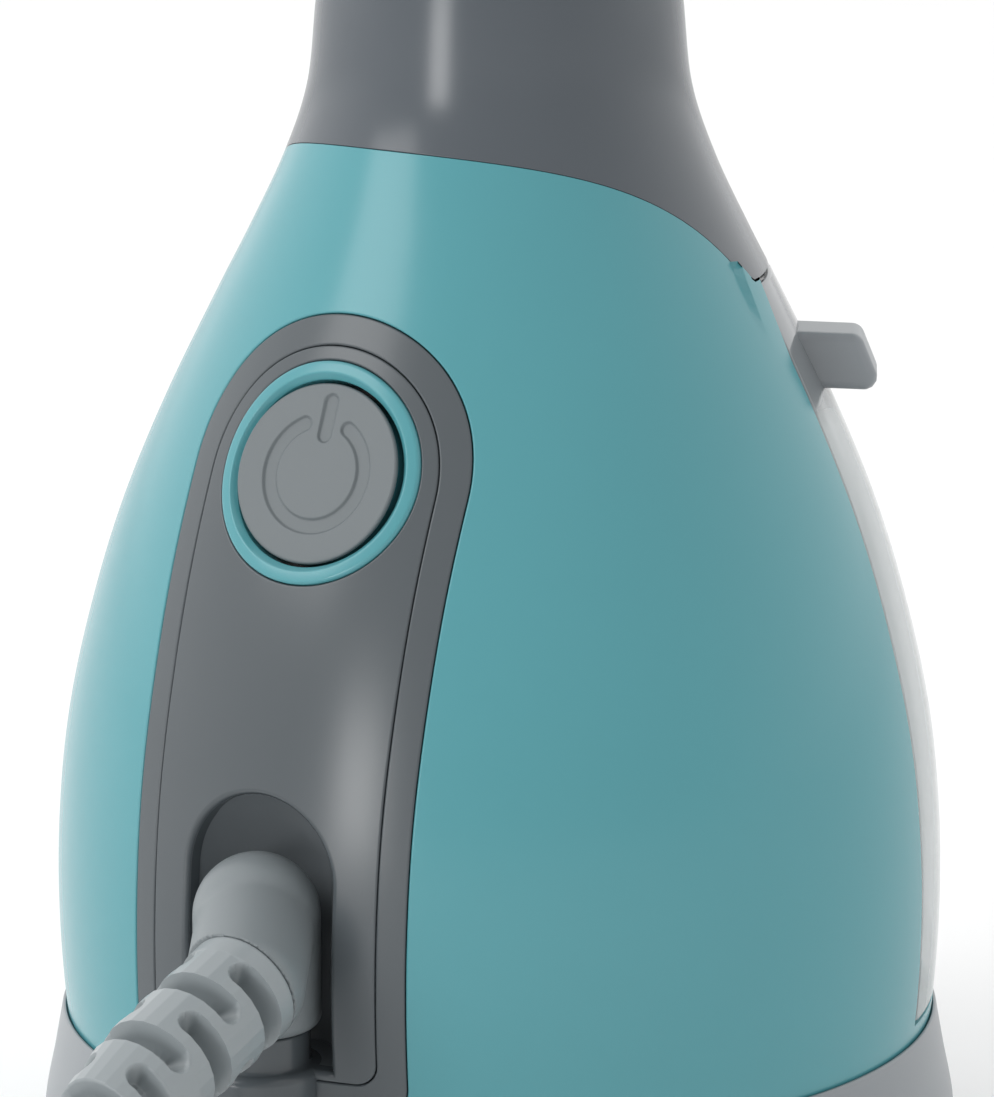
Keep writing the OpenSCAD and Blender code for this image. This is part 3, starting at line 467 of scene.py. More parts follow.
def plastic(name, colour, roughness=0.35, coat=0.0, grain=0.02, grain_scale=900, tint=0.03, metallic=0.0):
    """Moulded surface: fine grain in the bump, with slow changes of colour and roughness."""
    mat = bpy.data.materials.new(name)
    mat.use_nodes = True
    nodes, links = mat.node_tree.nodes, mat.node_tree.links
    shader = nodes["Principled BSDF"]
    shader.inputs["Metallic"].default_value = metallic
    shader.inputs["Coat Weight"].default_value = coat
    shader.inputs["Coat Roughness"].default_value = 0.12
    where = nodes.new("ShaderNodeTexCoord")
    slow = nodes.new("ShaderNodeTexNoise")
    slow.inputs["Scale"].default_value = 28
    slow.inputs["Detail"].default_value = 3
    links.new(where.outputs["Object"], slow.inputs["Vector"])
    mix = nodes.new("ShaderNodeMix")
    mix.data_type = "RGBA"
    mix.inputs["A"].default_value = tuple(min(1, c * (1 + tint)) for c in colour[:3]) + (1,)
    mix.inputs["B"].default_value = tuple(c * (1 - tint) for c in colour[:3]) + (1,)
    links.new(slow.outputs["Fac"], mix.inputs["Factor"])
    links.new(mix.outputs["Result"], shader.inputs["Base Color"])
    rough = nodes.new("ShaderNodeMapRange")
    rough.inputs["To Min"].default_value = roughness * 0.93
    rough.inputs["To Max"].default_value = roughness * 1.07
    links.new(slow.outputs["Fac"], rough.inputs["Value"])
    links.new(rough.outputs["Result"], shader.inputs["Roughness"])
    fine = nodes.new("ShaderNodeTexNoise")
    fine.inputs["Scale"].default_value = grain_scale
    fine.inputs["Detail"].default_value = 2
    links.new(where.outputs["Object"], fine.inputs["Vector"])
    bump = nodes.new("ShaderNodeBump")
    bump.inputs["Strength"].default_value = grain
    bump.inputs["Distance"].default_value = 0.0002
    links.new(fine.outputs["Fac"], bump.inputs["Height"])
    links.new(bump.outputs["Normal"], shader.inputs["Normal"])
    return mat


def clear_plastic(name, colour, shade, shade_low, shade_high, alpha=0.35):
    """Clear moulding: part see-through, part pale reflection, darker and denser towards its top."""
    mat = plastic(name, colour, roughness=0.08, grain=0.03, grain_scale=60, tint=0.01)
    nodes, links = mat.node_tree.nodes, mat.node_tree.links
    shader = nodes["Principled BSDF"]
    shader.inputs["IOR"].default_value = 1.49
    edge = nodes.new("ShaderNodeLayerWeight")
    edge.inputs["Blend"].default_value = 0.35
    span = nodes.new("ShaderNodeMapRange")
    span.inputs["To Min"].default_value = alpha
    span.inputs["To Max"].default_value = min(1.0, alpha + 0.55)
    links.new(edge.outputs["Facing"], span.inputs["Value"])
    where = nodes.new("ShaderNodeNewGeometry")
    split = nodes.new("ShaderNodeSeparateXYZ")
    links.new(where.outputs["Position"], split.inputs["Vector"])
    level = nodes.new("ShaderNodeMapRange")
    level.interpolation_type = "SMOOTHSTEP"
    level.inputs["From Min"].default_value = shade_low * MM
    level.inputs["From Max"].default_value = shade_high * MM
    links.new(split.outputs["Z"], level.inputs["Value"])
    paint = nodes.new("ShaderNodeMix")
    paint.data_type = "RGBA"
    links.new(level.outputs["Result"], paint.inputs["Factor"])
    links.new(shader.inputs["Base Color"].links[0].from_socket, paint.inputs["A"])
    paint.inputs["B"].default_value = shade
    links.new(paint.outputs["Result"], shader.inputs["Base Color"])
    dense = nodes.new("ShaderNodeMath")
    dense.operation = "MAXIMUM"
    links.new(span.outputs["Result"], dense.inputs[0])
    links.new(level.outputs["Result"], dense.inputs[1])
    links.new(dense.outputs["Value"], shader.inputs["Alpha"])
    return mat


MATS = {
    "teal": plastic("teal", srgb(80, 148, 156), roughness=0.22, grain=0.012),
    "dark_grey": plastic("dark_grey", srgb(80, 86, 92), roughness=0.22, grain=0.012),
    "mid_grey": plastic("mid_grey", srgb(80, 86, 90), roughness=0.24, grain=0.015),
    "button_grey": plastic("button_grey", srgb(101, 108, 111), roughness=0.45, grain=0.03),
    "swivel_grey": plastic("swivel_grey", srgb(122, 129, 132), roughness=0.40, grain=0.03),
    "boot_grey": plastic("boot_grey", srgb(142, 149, 152), roughness=0.30, grain=0.03),
    # The swivel pocket's grey is the panel's grey painted lighter: painted light inside the pocket.
    "niche_grey": plastic("niche_grey", srgb(116, 122, 126), roughness=0.24, grain=0.015),
    "light_grey": plastic("light_grey", srgb(135, 140, 144), roughness=0.35, grain=0.02),
    "black": plastic("black", srgb(22, 22, 24), roughness=0.45, grain=0.05),
    "rubber": plastic("rubber", srgb(38, 39, 41), roughness=0.65, grain=0.12, grain_scale=1500),
    "white": plastic("white", srgb(224, 224, 220), roughness=0.4),
    "metal": plastic("metal", srgb(200, 202, 205), roughness=0.25, metallic=1.0, grain=0.03),
    "chrome": plastic("chrome", srgb(225, 226, 228), roughness=0.05, metallic=1.0, grain=0.0),
    "alloy": plastic("alloy", srgb(196, 198, 200), roughness=0.38, metallic=1.0, grain=0.10, grain_scale=500),
    "brass": plastic("brass", srgb(205, 172, 96), roughness=0.25, metallic=1.0),
    "board": plastic("board", srgb(42, 104, 62), roughness=0.35, tint=0.15),
    "amber": plastic("amber", srgb(226, 120, 40), roughness=0.15),
    "clear": clear_plastic("clear", srgb(182, 190, 191), srgb(122, 127, 130), 113, 119, alpha=0.3),
}


def dress(obj, material, body="body", replaces=()):
    """Gives a piece its material and ties it to its CAD body."""
    obj.data.materials.clear()
    obj.data.materials.append(MATS[material])
    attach(obj, body)
    if replaces:
        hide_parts(*replaces)
    return obj


# ---- shell ----

RIB_ANGLE = math.radians(7.2)
RIB_LOW_Z = 123.5
RIB_HIGH = 0.8
SEAM_FRONT_Z = SEAM[0][1]


def rib_lift(angle, z):
    """Raised wedge along the shell's edge beside the tank's shoulder."""
    around = np.abs((angle + math.pi) % (2 * math.pi) - math.pi)
    start = TANK_EDGE - RIB_ANGLE
    ramp = np.clip((z - RIB_LOW_Z) / (SEAM_FRONT_Z - RIB_LOW_Z), 0, 1)
    step = np.clip((around - start) / 0.006, 0, 1)
    step = step * step * (3 - 2 * step)
    return RIB_HIGH * ramp * step * (around < TANK_EDGE + 0.02)


def shell_loops():
    edge = TANK_EDGE
    half = math.pi
    angles = np.linspace(edge, 0, 110)
    right = np.stack([angles, seam_height(angles)], -1)
    top = np.concatenate([right, (right * [-1, 1])[::-1][1:]])
    top[:, 1] -= 0.03
    up = np.stack([np.full(60, edge), np.linspace(DECK_Z, SEAM_FRONT_Z - 0.03, 61)[:-1]], -1)
    ledge = np.stack([np.linspace(half, edge, 70)[:-1], np.full(69, DECK_Z)], -1)
    visible = np.concatenate([ledge, up, top, (up * [-1, 1])[::-1], (ledge * [-1, 1])[::-1]])
    low = 20.0
    bottom = np.stack([np.linspace(-half, half, 200), np.full(200, low)], -1)
    left_side = np.array([[-half, 25.0]])
    right_side = np.array([[half, 25.0]])
    loop = np.concatenate([bottom, right_side, visible, left_side])
    mark = np.zeros(len(loop))
    mark[:len(bottom) + 2] = 1
    mark[-2:] = 1
    return np.column_stack([loop, mark])


hole = arch_loop(BEZEL_R + 0.12, PANEL_TOP_Z, PANEL_LOW_Z - 0.1, corner=4, clockwise=True)
shell_outline = shell_loops()
shell = body_patch("shell", [shell_outline, np.column_stack([hole, np.zeros(len(hole))])],
                   edge=[0.12, 0.3], proud=rib_lift)
dress(shell, "teal", replaces=["body_shell"])

# ---- neck ----

def neck_piece():
    count = 288
    angles = np.arange(count) * 2 * math.pi / count - math.pi
    low = seam_height(angles) + 0.03
    edge = 0.12
    rows_p, rows_n = [], []
    for theta in np.radians([90, 67.5, 45, 22.5]):
        p, n = on_body(angles, low)
        down = np.array([0, 0, -1.0]) - n * (-n[:, 2:3])
        down /= np.linalg.norm(down, axis=1)[:, None]
        norm = n * math.cos(theta) + down * math.sin(theta)
        if not rows_p:
            rows_p.append(p - n * WALL)
            rows_n.append(down)
        rows_p.append(p - down * edge - n * edge + norm * edge)
        rows_n.append(norm)
    for t in np.linspace(0, 1, 40):
        z = (low + edge) * (1 - t) + (NECK_SPLIT_Z - edge) * t
        p, n = on_body(angles, z)
        rows_p.append(p)
        rows_n.append(n)
    for theta in np.radians([22.5, 45, 67.5, 90]):
        p, n = on_body(angles, np.full(count, NECK_SPLIT_Z))
        up = np.array([0, 0, 1.0]) - n * n[:, 2:3]
        norm = n * math.cos(theta) + up * math.sin(theta)
        rows_p.append(p - up * edge - n * edge + norm * edge)
        rows_n.append(norm)
    rows_p.append(p - n * WALL)
    rows_n.append(up)
    for t in np.linspace(1, 0, 16)[1:-1]:
        p, n = on_body(angles, low * (1 - t) + NECK_SPLIT_Z * t)
        rows_p.append(p - n * WALL)
        rows_n.append(-n)
    verts = np.concatenate(rows_p)
    normals = np.concatenate(rows_n)
    faces = []
    for i in range(len(rows_p)):
        below, above = i, (i + 1) % len(rows_p)
        for k in range(count):
            m = (k + 1) % count
            faces.append([below * count + k, below * count + m, above * count + m, above * count + k])
    return make_object("neck_sleeve", verts, faces, normals)


dress(neck_piece(), "dark_grey", replaces=["neck"])

# ---- rear panel ----

bezel_outer = arch_loop(BEZEL_R, PANEL_TOP_Z, PANEL_LOW_Z, corner=4)
bezel_inner = arch_loop(PANEL_R + 0.1, PANEL_TOP_Z, PANEL_LOW_Z + 4, corner=3, clockwise=True)
bezel = body_patch("bezel", [bezel_outer, bezel_inner], edge=0.3, grid=1.3)
dress(bezel, "mid_grey", replaces=["panel_bezel"])


def skin_point(x, y):
    """Point of the body's surface over x, y of the button's frame, and its height in that frame."""
    height = 0.0
    for _ in range(40):
        q = BUTTON_FRAME @ Vector((x, y, height))
        height -= (math.hypot(q.x, q.y) - float(BODY.radius(q.z))) * 0.9
    return BUTTON_FRAME @ Vector((x, y, height)), height


def button_hole_loop(radius, count=140):
    """Where a cylinder about the button's axis cuts the body, clockwise, as [angle, z]."""
    out = []
    for t in np.linspace(0, 2 * math.pi, count, endpoint=False)[::-1]:
        q, _ = skin_point(radius * math.cos(t), radius * math.sin(t))
        out.append((math.atan2(-q.x, q.y), q.z))
    return np.array(out)


NICHE_EDGE = 0.9
panel_outer = arch_loop(PANEL_R, PANEL_TOP_Z, PANEL_LOW_Z + 4.1, corner=3)
niche_loop = arch_loop(NICHE_R, NICHE_TOP_Z, NICHE_FLOOR_Z, clockwise=True, step=0.8)
panel = body_patch("panel", [panel_outer, button_hole_loop(RING_R + 0.12), niche_loop],
                   edge=[0.3, 0.3, NICHE_EDGE], grid=1.2)
dress(panel, "mid_grey", replaces=["rear_panel"])

# The pocket behind the swivel: every point of its rim runs along a quarter circle to the middle.

def niche_piece():
    loop = niche_loop[::-1]
    p, n = on_body(loop[:, 0], loop[:, 1])
    keep = p[:, 2] > NICHE_FLOOR_Z + 0.01
    keep |= np.abs(p[:, 0]) > NICHE_R - 0.3
    p, n = p[keep], n[keep]
    side = p[:, 2] < NICHE_TOP_Z
    key = np.where(side & (p[:, 0] > 0), -(NICHE_TOP_Z - p[:, 2]),
                   np.where(side, 100 + (NICHE_TOP_Z - p[:, 2]),
                            NICHE_R * np.arctan2(p[:, 2] - NICHE_TOP_Z, p[:, 0])))
    order = np.argsort(key)
    p, n = p[order], n[order]
    centre = np.stack([np.zeros(len(p)), np.full(len(p), CORD_Y), np.minimum(p[:, 2], NICHE_TOP_Z)], -1)
    out = p - centre
    out[:, 1] = 0
    out /= np.linalg.norm(out, axis=1)[:, None]
    rows = [p - n * (NICHE_EDGE - 0.25)]
    for turn in np.radians(np.linspace(9, 90, 22)):
        rows.append(centre + NICHE_R * (math.cos(turn) * out - math.sin(turn) * np.array([0, 1, 0])))
    verts = np.concatenate(rows)
    count = len(p)
    faces = [[i * count + k, i * count + k + 1, (i + 1) * count + k + 1, (i + 1) * count + k]
             for i in range(len(rows) - 1) for k in range(count - 1)]
    low = [i * count for i in range(len(rows))] + [i * count + count - 1 for i in range(len(rows) - 1)][::-1]
    faces.append(low)
    return make_object("niche", verts, faces, sharp=60)


niche = niche_piece()
# The pocket gets the lighter grey: painted light on the panel's grey.
dress(niche, "niche_grey")
cup = lathe("swivel_cup", rounded([(0, 29.3), (9.4, 29.3), (9.4, 34.6), (7.2, 34.6), (7.2, 39.4), (0, 39.4)],
                                  [0, 1.5, 1.2, 0.5, 0.4, 0]), matrix=Matrix.Translation((0, CORD_Y, 0)))
dress(cup, "mid_grey")

# ---- power button ----

def ring_piece():
    """Ring whose top follows the curve of the panel."""
    top, foot = 0.35, -7
    corners = [(RING_IN_R, foot), (RING_R, foot), (RING_R, top), (RING_IN_R + 0.8, top), (RING_IN_R, -0.7)]
    outline = rounded(corners, [0, 0, 0.5, 0.4, 0.3], 6)
    obj = lathe("ring", outline, 160)
    for vertex in obj.data.vertices:
        x, y, z = vertex.co / MM
        vertex.co = BUTTON_FRAME @ Vector((x, y, z + skin_point(x, y)[1])) * MM
    return obj


dress(ring_piece(), "teal", replaces=["button_ring"])
# Black disc closing the hole under the button: painted shade, so the gap round the button shows dark.
shade_disc = lathe("button_seat", [(0, -6.6), (RING_IN_R, -6.6), (RING_IN_R, -5.2), (0, -5.2)], 64, BUTTON_FRAME)
dress(shade_disc, "black")

MARK_R = 7.35
MARK_HALF = 1.0
MARK_OPEN = math.radians(28)


def mark_distance(x, y):
    """Distance outside the power mark: an arc open at the top, and a bar."""
    around = np.arctan2(x, y)
    r = np.hypot(x, y)
    on_arc = np.abs(around) > MARK_OPEN
    end = MARK_R * np.array([math.sin(MARK_OPEN), math.cos(MARK_OPEN)])
    arc = np.where(on_arc, np.abs(r - MARK_R), np.hypot(np.abs(x) - end[0], y - end[1]))
    bar = np.hypot(x, y - np.clip(y, 5.3, 10.0))
    return np.minimum(arc, bar) - MARK_HALF


def button_piece():
    face_z, edge, depth = 1.4, 0.35, 0.38
    reach = BUTTON_R - edge
    rings = np.linspace(0, reach, 108)
    count = 360
    turns = np.arange(count) * 2 * math.pi / count
    rows = []
    for r in rings[1:]:
        x, y = r * np.cos(turns), r * np.sin(turns)
        t = np.clip(mark_distance(x, y) / 0.34 + 0.5, 0, 1)
        dip = 1 - t * t * (3 - 2 * t)
        rows.append(np.stack([x, y, face_z - depth * dip], -1))
    for theta in np.radians([15, 30, 45, 60, 75, 90]):
        r = reach + edge * math.sin(theta)
        rows.append(np.stack([r * np.cos(turns), r * np.sin(turns),
                              np.full(count, face_z - edge + edge * math.cos(theta))], -1))
    rows.append(rows[-1] * [1, 1, 0] + [0, 0, 0.8])
    verts = np.concatenate([[[0, 0, face_z]]] + rows + [[[0, 0, 0.8]]])
    faces = [[0, 1 + k, 1 + (k + 1) % count] for k in range(count)]
    for i in range(len(rows) - 1):
        a, b = 1 + i * count, 1 + (i + 1) * count
        faces += [[a + k, b + k, b + (k + 1) % count, a + (k + 1) % count] for k in range(count)]
    a = 1 + (len(rows) - 1) * count
    faces += [[len(verts) - 1, a + (k + 1) % count, a + k] for k in range(count)]
    m = np.array(BUTTON_FRAME)
    verts = verts @ m[:3, :3].T + m[:3, 3]
    return make_object("button_face", verts, faces, sharp=50)


dress(button_piece(), "button_grey", "power_button", ["power_button"])
TRIM_R = BUTTON_R - 0.1
trim = lathe("button_trim", [(0, -2), (TRIM_R, -2), (TRIM_R, 0.8), (0, 0.8)], 120, BUTTON_FRAME)
dress(trim, "chrome", "power_button")
stem = lathe("button_stem", [(0, -10), (3, -10), (3, -1.9), (0, -1.9)], 32, BUTTON_FRAME)
dress(stem, "button_grey", "power_button")


# ---- smooth solids from distance functions ----

def smin(a, b, k):
    h = np.clip(0.5 + 0.5 * (b - a) / k, 0, 1)
    return b + (a - b) * h - k * h * (1 - h)


def bar_field(p, origin, axis, radius, start, end, r=0.5):
    """Cylinder along a unit axis from start to end, edges rounded by r."""
    d = p - np.array(origin)
    along = d @ np.array(axis)
    away_r = np.linalg.norm(d - along[:, None] * np.array(axis), axis=1)
    middle, half = (start + end) / 2, (end - start) / 2
    q = np.stack([away_r - radius + r, np.abs(along - middle) - half + r], -1)
    return np.linalg.norm(np.maximum(q, 0), axis=1) + np.minimum(q.max(axis=1), 0) - r


def field_solid(name, field, low, high, voxel):
    """Closed mesh on the zero surface of a distance function, with the function's own normals."""
    low, high = np.array(low, float), np.array(high, float)
    n = np.ceil((high - low) / voxel).astype(int) + 1
    axes = [low[i] + voxel * np.arange(n[i]) for i in range(3)]
    grid = np.stack(np.meshgrid(*axes, indexing="ij"), -1).reshape(-1, 3)
    values = np.concatenate([field(part) for part in np.array_split(grid, 40)]).reshape(n)
    full = values < 0
    faces = []
    # One point in every cell the surface crosses, joined across each crossed grid edge.
    corners = [full[i:n[0] - 1 + i, j:n[1] - 1 + j, k:n[2] - 1 + k]
               for i in (0, 1) for j in (0, 1) for k in (0, 1)]
    count = sum(c.astype(int) for c in corners)
    cell = (count > 0) & (count < 8)
    ids = np.full(cell.shape, -1)
    where = np.argwhere(cell)
    ids[cell] = np.arange(len(where))
    verts = low + (where + 0.5) * voxel
    for axis in range(3):
        a = np.take(full, range(0, n[axis] - 1), axis)
        b = np.take(full, range(1, n[axis]), axis)
        edges = np.argwhere(a != b)
        inward = a[tuple(edges.T)]
        u, v = (axis + 1) % 3, (axis + 2) % 3
        quads = []
        for du, dv in ((0, 0), (-1, 0), (-1, -1), (0, -1)):
            c = edges.copy()
            c[:, u] += du
            c[:, v] += dv
            quads.append(ids[tuple(c.T)])
        quads = np.stack(quads, -1)
        quads[~inward] = quads[~inward][:, ::-1]
        faces.append(quads)
    faces = np.concatenate(faces)
    step = 0.02

    def gradient(p):
        g = np.stack([field(p + d) - field(p - d) for d in np.eye(3) * step], -1)
        return g / (np.linalg.norm(g, axis=1)[:, None] + 1e-12)

    for _ in range(5):
        verts = verts - gradient(verts) * field(verts)[:, None] * 0.9
    return make_object(name, verts, faces, gradient(verts))


# ---- cord ----

def swivel_field(p):
    barrel = bar_field(p, (0, CORD_Y, 0), (0, 0, 1), BARREL_R, 39.6, CORD_Z, 1.6)
    upper = bar_field(p, (0, CORD_Y, 0), (0, 0, 1), BARREL_R, 43.0, CORD_Z, 0.1)
    dome = np.linalg.norm(p - np.array([0, CORD_Y, CORD_Z]), axis=1) - BARREL_R
    d = p - np.array([0, CORD_Y, CORD_Z])
    along = d @ np.array(ELBOW_AXIS)
    away = np.linalg.norm(d - along[:, None] * np.array(ELBOW_AXIS), axis=1)
    tube = np.maximum(away - ELBOW_R, -along - 2)
    ball = np.linalg.norm(p - np.array(BOOT_ORIGIN), axis=1) - ELBOW_R
    end = (p - np.array(BOOT_ORIGIN)) @ np.array(CORD_AXIS)
    elbow = np.maximum(np.minimum(np.maximum(tube, along - ELBOW_LENGTH), ball), end)
    return smin(np.minimum(np.minimum(barrel, upper), dome), elbow, 0.5)


swivel = field_solid("swivel", swivel_field, (-20, 51, 38), (11, 82, 66), 0.4)
dress(swivel, "swivel_grey", "cord_swivel", ["cord_swivel"])

COLLAR = 3.5
BOOT_SLOT = 3.4
BOOT_PITCH = 5.85
BOOT_TIP_R = 5.6
BOOT_STRAIGHT = 22.0
SLOTS = 6


def boot_piece():
    """Strain relief: rings parted by slots that turn a quarter from one to the next."""
    along_n, count, facets = 260, 216, 24
    core_r = 3.6
    s = np.linspace(0.05, BOOT_LENGTH, along_n)
    turns = np.arange(count) * 2 * math.pi / count
    taper = np.clip((s - BOOT_STRAIGHT) / (BOOT_LENGTH - BOOT_STRAIGHT), 0, 1)
    outer = ELBOW_R - (ELBOW_R - BOOT_TIP_R) * taper
    width = math.pi * 2 / facets
    flat = math.cos(width / 2) / np.cos((turns % width) - width / 2)
    rows = []
    for sk, r0 in zip(s, outer):
        i = int(math.floor((sk - COLLAR + (BOOT_PITCH - BOOT_SLOT) / 2) / BOOT_PITCH))
        middle = COLLAR + BOOT_SLOT / 2 + BOOT_PITCH * i
        r = np.full(count, r0)
        if sk > COLLAR:
            r = r * flat
        if 0 <= i < SLOTS:
            off = (turns - i % 2 * math.pi / 2 + math.pi / 2) % math.pi - math.pi / 2
            half = r0 * math.radians(64)
            q = np.maximum(np.abs(off) * r0 - half + BOOT_SLOT / 2, 0)
            d = np.hypot(q, sk - middle) - BOOT_SLOT / 2
            t = np.clip(0.5 - d / 0.5, 0, 1)
            r = r - (r0 - core_r) * t * t * (3 - 2 * t)
        edge = min(sk - s[0], s[-1] - sk)
        if edge < 0.5:
            r = r - (0.5 - math.sqrt(max(0.0, 0.25 - (0.5 - edge) ** 2)))
        rows.append(np.stack([r * np.cos(turns), r * np.sin(turns), np.full(count, sk)], -1))
    verts = np.concatenate(rows)
    faces = []
    for i in range(along_n - 1):
        for k in range(count):
            m = (k + 1) % count
            faces.append([i * count + k, i * count + m, (i + 1) * count + m, (i + 1) * count + k])
    faces.append(list(range(count))[::-1])
    faces.append([(along_n - 1) * count + k for k in range(count)])
    m = np.array(CORD_FRAME)
    verts = verts @ m[:3, :3].T + m[:3, 3]
    return make_object("boot", verts, faces, sharp=75)


dress(boot_piece(), "boot_grey", "cord_swivel", ["cord_boot"])


def cord_points():
    """The cable's centre line, walked the way the CAD walks it."""
    frame_at = CORD_FRAME.copy()
    fall = math.radians(66)
    land = BOOT_ORIGIN.z - BOOT_LENGTH * math.sin(CORD_DROP) - 3.6
    link = (land - 25 * (1 + math.cos(CORD_DROP) - 2 * math.cos(fall))) / math.sin(fall)
    rise = math.radians(22)
    steps = [("run", BOOT_LENGTH), ("bend", 25, fall - CORD_DROP, 90), ("run", link), ("bend", 25, fall, -90),
             ("run", link), ("bend", 35, math.radians(120), 0), ("run", link), ("bend", 20, rise, -90),
             ("run", link), ("bend", 20, rise, 90), ("run", 3)]
    points = []
    for kind, *v in steps:
        if kind == "run":
            points += [frame_at @ Vector((0, 0, v[0] * t)) for t in np.linspace(0, 1, 8)[:-1]]
            frame_at = frame_at @ Matrix.Translation((0, 0, v[0]))
        else:
            radius, angle, roll = v
            turn = Matrix.Rotation(math.radians(roll), 4, "Z")
            for t in np.linspace(0, angle, 24)[:-1]:
                points.append(frame_at @ turn @ Vector((radius * (1 - math.cos(t)), 0, radius * math.sin(t))))
            frame_at = (frame_at @ turn @ Matrix.Translation((radius * (1 - math.cos(angle)), 0,
                        radius * math.sin(angle))) @ Matrix.Rotation(angle, 4, "Y") @ turn.inverted())
    points.append(frame_at.translation)
    return np.array([list(p) for p in points])


dress(sweep("cord", cord_points(), CABLE_R, 32), "black", "cord_swivel", ["power_cord"])


# ---- base ----

base_curve = smooth_curve([(26.6, 62.9), (20, 64.1), (12, 65.6), (6, 65.2), (2.4, 62.6)], 10)
base_outline = [(57.4, 8), (57.4, 5.7), (61.2, 5.7), (61.2, 2.4)] + [(r, z) for z, r in base_curve[::-1]]
base_outline += [(62.75, 26.8), (62.5, 26.82), (62.3, 26.6), (61.2, 20)]
base_band = lathe("base_band", base_outline, 200, sharp=35)
dress(base_band, "light_grey", replaces=["base_ring"])


# ---- tank ----

def tank_loops():
    half = TANK_HALF - TANK_GAP / FLAT_R
    side, low = half * FLAT_R, DECK_Z + TANK_GAP
    corners = np.array([(-side, low), (side, low), (side, TANK_TOP_Z), (-side, TANK_TOP_Z)])
    outline = np.array(rounded(corners, [1.5, 1.5, 1.0, 1.0]))
    outline = spaced(np.concatenate([outline, outline[:1]]), 1.2)[:-1]
    return [np.stack([outline[:, 0] / FLAT_R, outline[:, 1]], -1)]


tank_skin = body_patch("tank_skin", tank_loops(), depth=2.2, edge=0.6, grid=2.0, turn=math.pi)
dress(tank_skin, "clear", "tank", ["tank"])


def tank_back_piece():
    """Back, top and bottom walls of the tank, as one open shell inside the skin."""
    bottom_z, top_z, inset = 29.4, 133.6, 1.2
    levels = np.concatenate([[bottom_z], np.linspace(30, 133, 60), [top_z]])
    back_y = -TANK_BACK - TANK_GAP
    rows = []
    for z in levels:
        r = float(BODY.radius(z)) - inset
        edge_x, edge_y = r * math.sin(TANK_HALF), -r * math.cos(TANK_HALF) - TANK_GAP
        rows.append([(-edge_x, edge_y, z), (-TANK_BACK_HALF, back_y, z), (TANK_BACK_HALF, back_y, z),
                     (edge_x, edge_y, z)])
    verts = np.array(rows).reshape(-1, 3)
    faces = [[i * 4 + k, (i + 1) * 4 + k, (i + 1) * 4 + k + 1, i * 4 + k + 1]
             for i in range(len(levels) - 1) for k in range(3)]
    rim_count = 60
    for z, flip in ((bottom_z, False), (top_z, True)):
        r = float(BODY.radius(z)) - inset
        turns = np.linspace(-TANK_HALF, TANK_HALF, rim_count)
        start = len(verts)
        rim = np.stack([r * np.sin(turns), -r * np.cos(turns) - TANK_GAP, np.full(rim_count, z)], -1)
        back = np.array([(TANK_BACK_HALF, back_y, z), (-TANK_BACK_HALF, back_y, z)])
        verts = np.concatenate([verts, rim, back])
        face = list(range(start, start + rim_count + 2))
        faces.append(face[::-1] if flip else face)
    return make_object("tank_walls", verts, faces)


dress(tank_back_piece(), "clear", "tank")


def tab_piece(side):
    outline = rounded([(40, -4.0), (54.0, -4.4), (50.7, 3.7), (38, 4.1)], [0, 1.8, 1.8, 0])
    half = 4.7
    n = len(outline)
    verts = [(x, s * half, z) for s in (-1, 1) for x, z in outline]
    faces = [list(range(n)), list(range(n, 2 * n))[::-1]]
    faces += [[i, i + n, (i + 1) % n + n, (i + 1) % n] for i in range(n)]
    turn = math.radians(-90) + side * TAB_ANGLE
    m = Matrix.Rotation(turn, 4, "Z")
    m.translation = Vector((0, 0, TAB_Z))
    verts = [m @ Vector(v) for v in verts]
    obj = make_object("tab_" + ("right" if side > 0 else "left"), verts, faces)
    clean(obj)
    bevel = obj.modifiers.new("edges", "BEVEL")
    bevel.width = 1.3 * MM
    bevel.segments = 4
    bevel.limit_method = "ANGLE"
    bevel.angle_limit = math.radians(50)
    bevel.harden_normals = True
    return obj


for side, name in ((-1, "left"), (1, "right")):
    dress(tab_piece(side), "light_grey", "release_tab_" + name, ["release_tab_" + name])

# ---- softened copies of CAD parts ----

def softened(node_name, width, material, body="body", limit=48):
    """Copy of a CAD part with its sharp edges rounded, shown in its place."""
    source = frame["nodes"][node_name]
    obj = bpy.data.objects.new("soft_" + node_name, source.data.copy())
    obj.matrix_world = source.matrix_world
    bpy.context.collection.objects.link(obj)
    shape = bmesh.new()
    shape.from_mesh(obj.data)
    bmesh.ops.remove_doubles(shape, verts=shape.verts, dist=2e-6)
    bmesh.ops.dissolve_limit(shape, angle_limit=math.radians(0.4), verts=shape.verts, edges=shape.edges)
    shape.to_mesh(obj.data)
    shape.free()
    obj.data.polygons.foreach_set("use_smooth", [True] * len(obj.data.polygons))
    bevel = obj.modifiers.new("edges", "BEVEL")
    bevel.width = width * MM
    bevel.segments = 3
    bevel.limit_method = "ANGLE"
    bevel.angle_limit = math.radians(limit)
    bevel.harden_normals = True
    return dress(obj, material, body, [node_name])


SOFT_PARTS = [
    ("plate_housing", 1.2, "teal", "steam_plate"),
    ("plate_seal", 0.6, "rubber", "steam_plate"),
    ("trigger", 0.8, "teal", "trigger"),
    ("tank_cap", 0.6, "light_grey", "tank_cap"),
    ("plug", 0.8, "rubber", "cord_swivel"),
    ("base_plate", 0.5, "light_grey", "body"),
    ("grip_pad", 0.5, "rubber", "body"),
    ("handle_left", 0.35, "dark_grey", "body"),
    ("handle_right", 0.35, "dark_grey", "body"),
]
for soft_node, soft_width, soft_look, soft_body in SOFT_PARTS:
    softened(soft_node, soft_width, soft_look, soft_body)

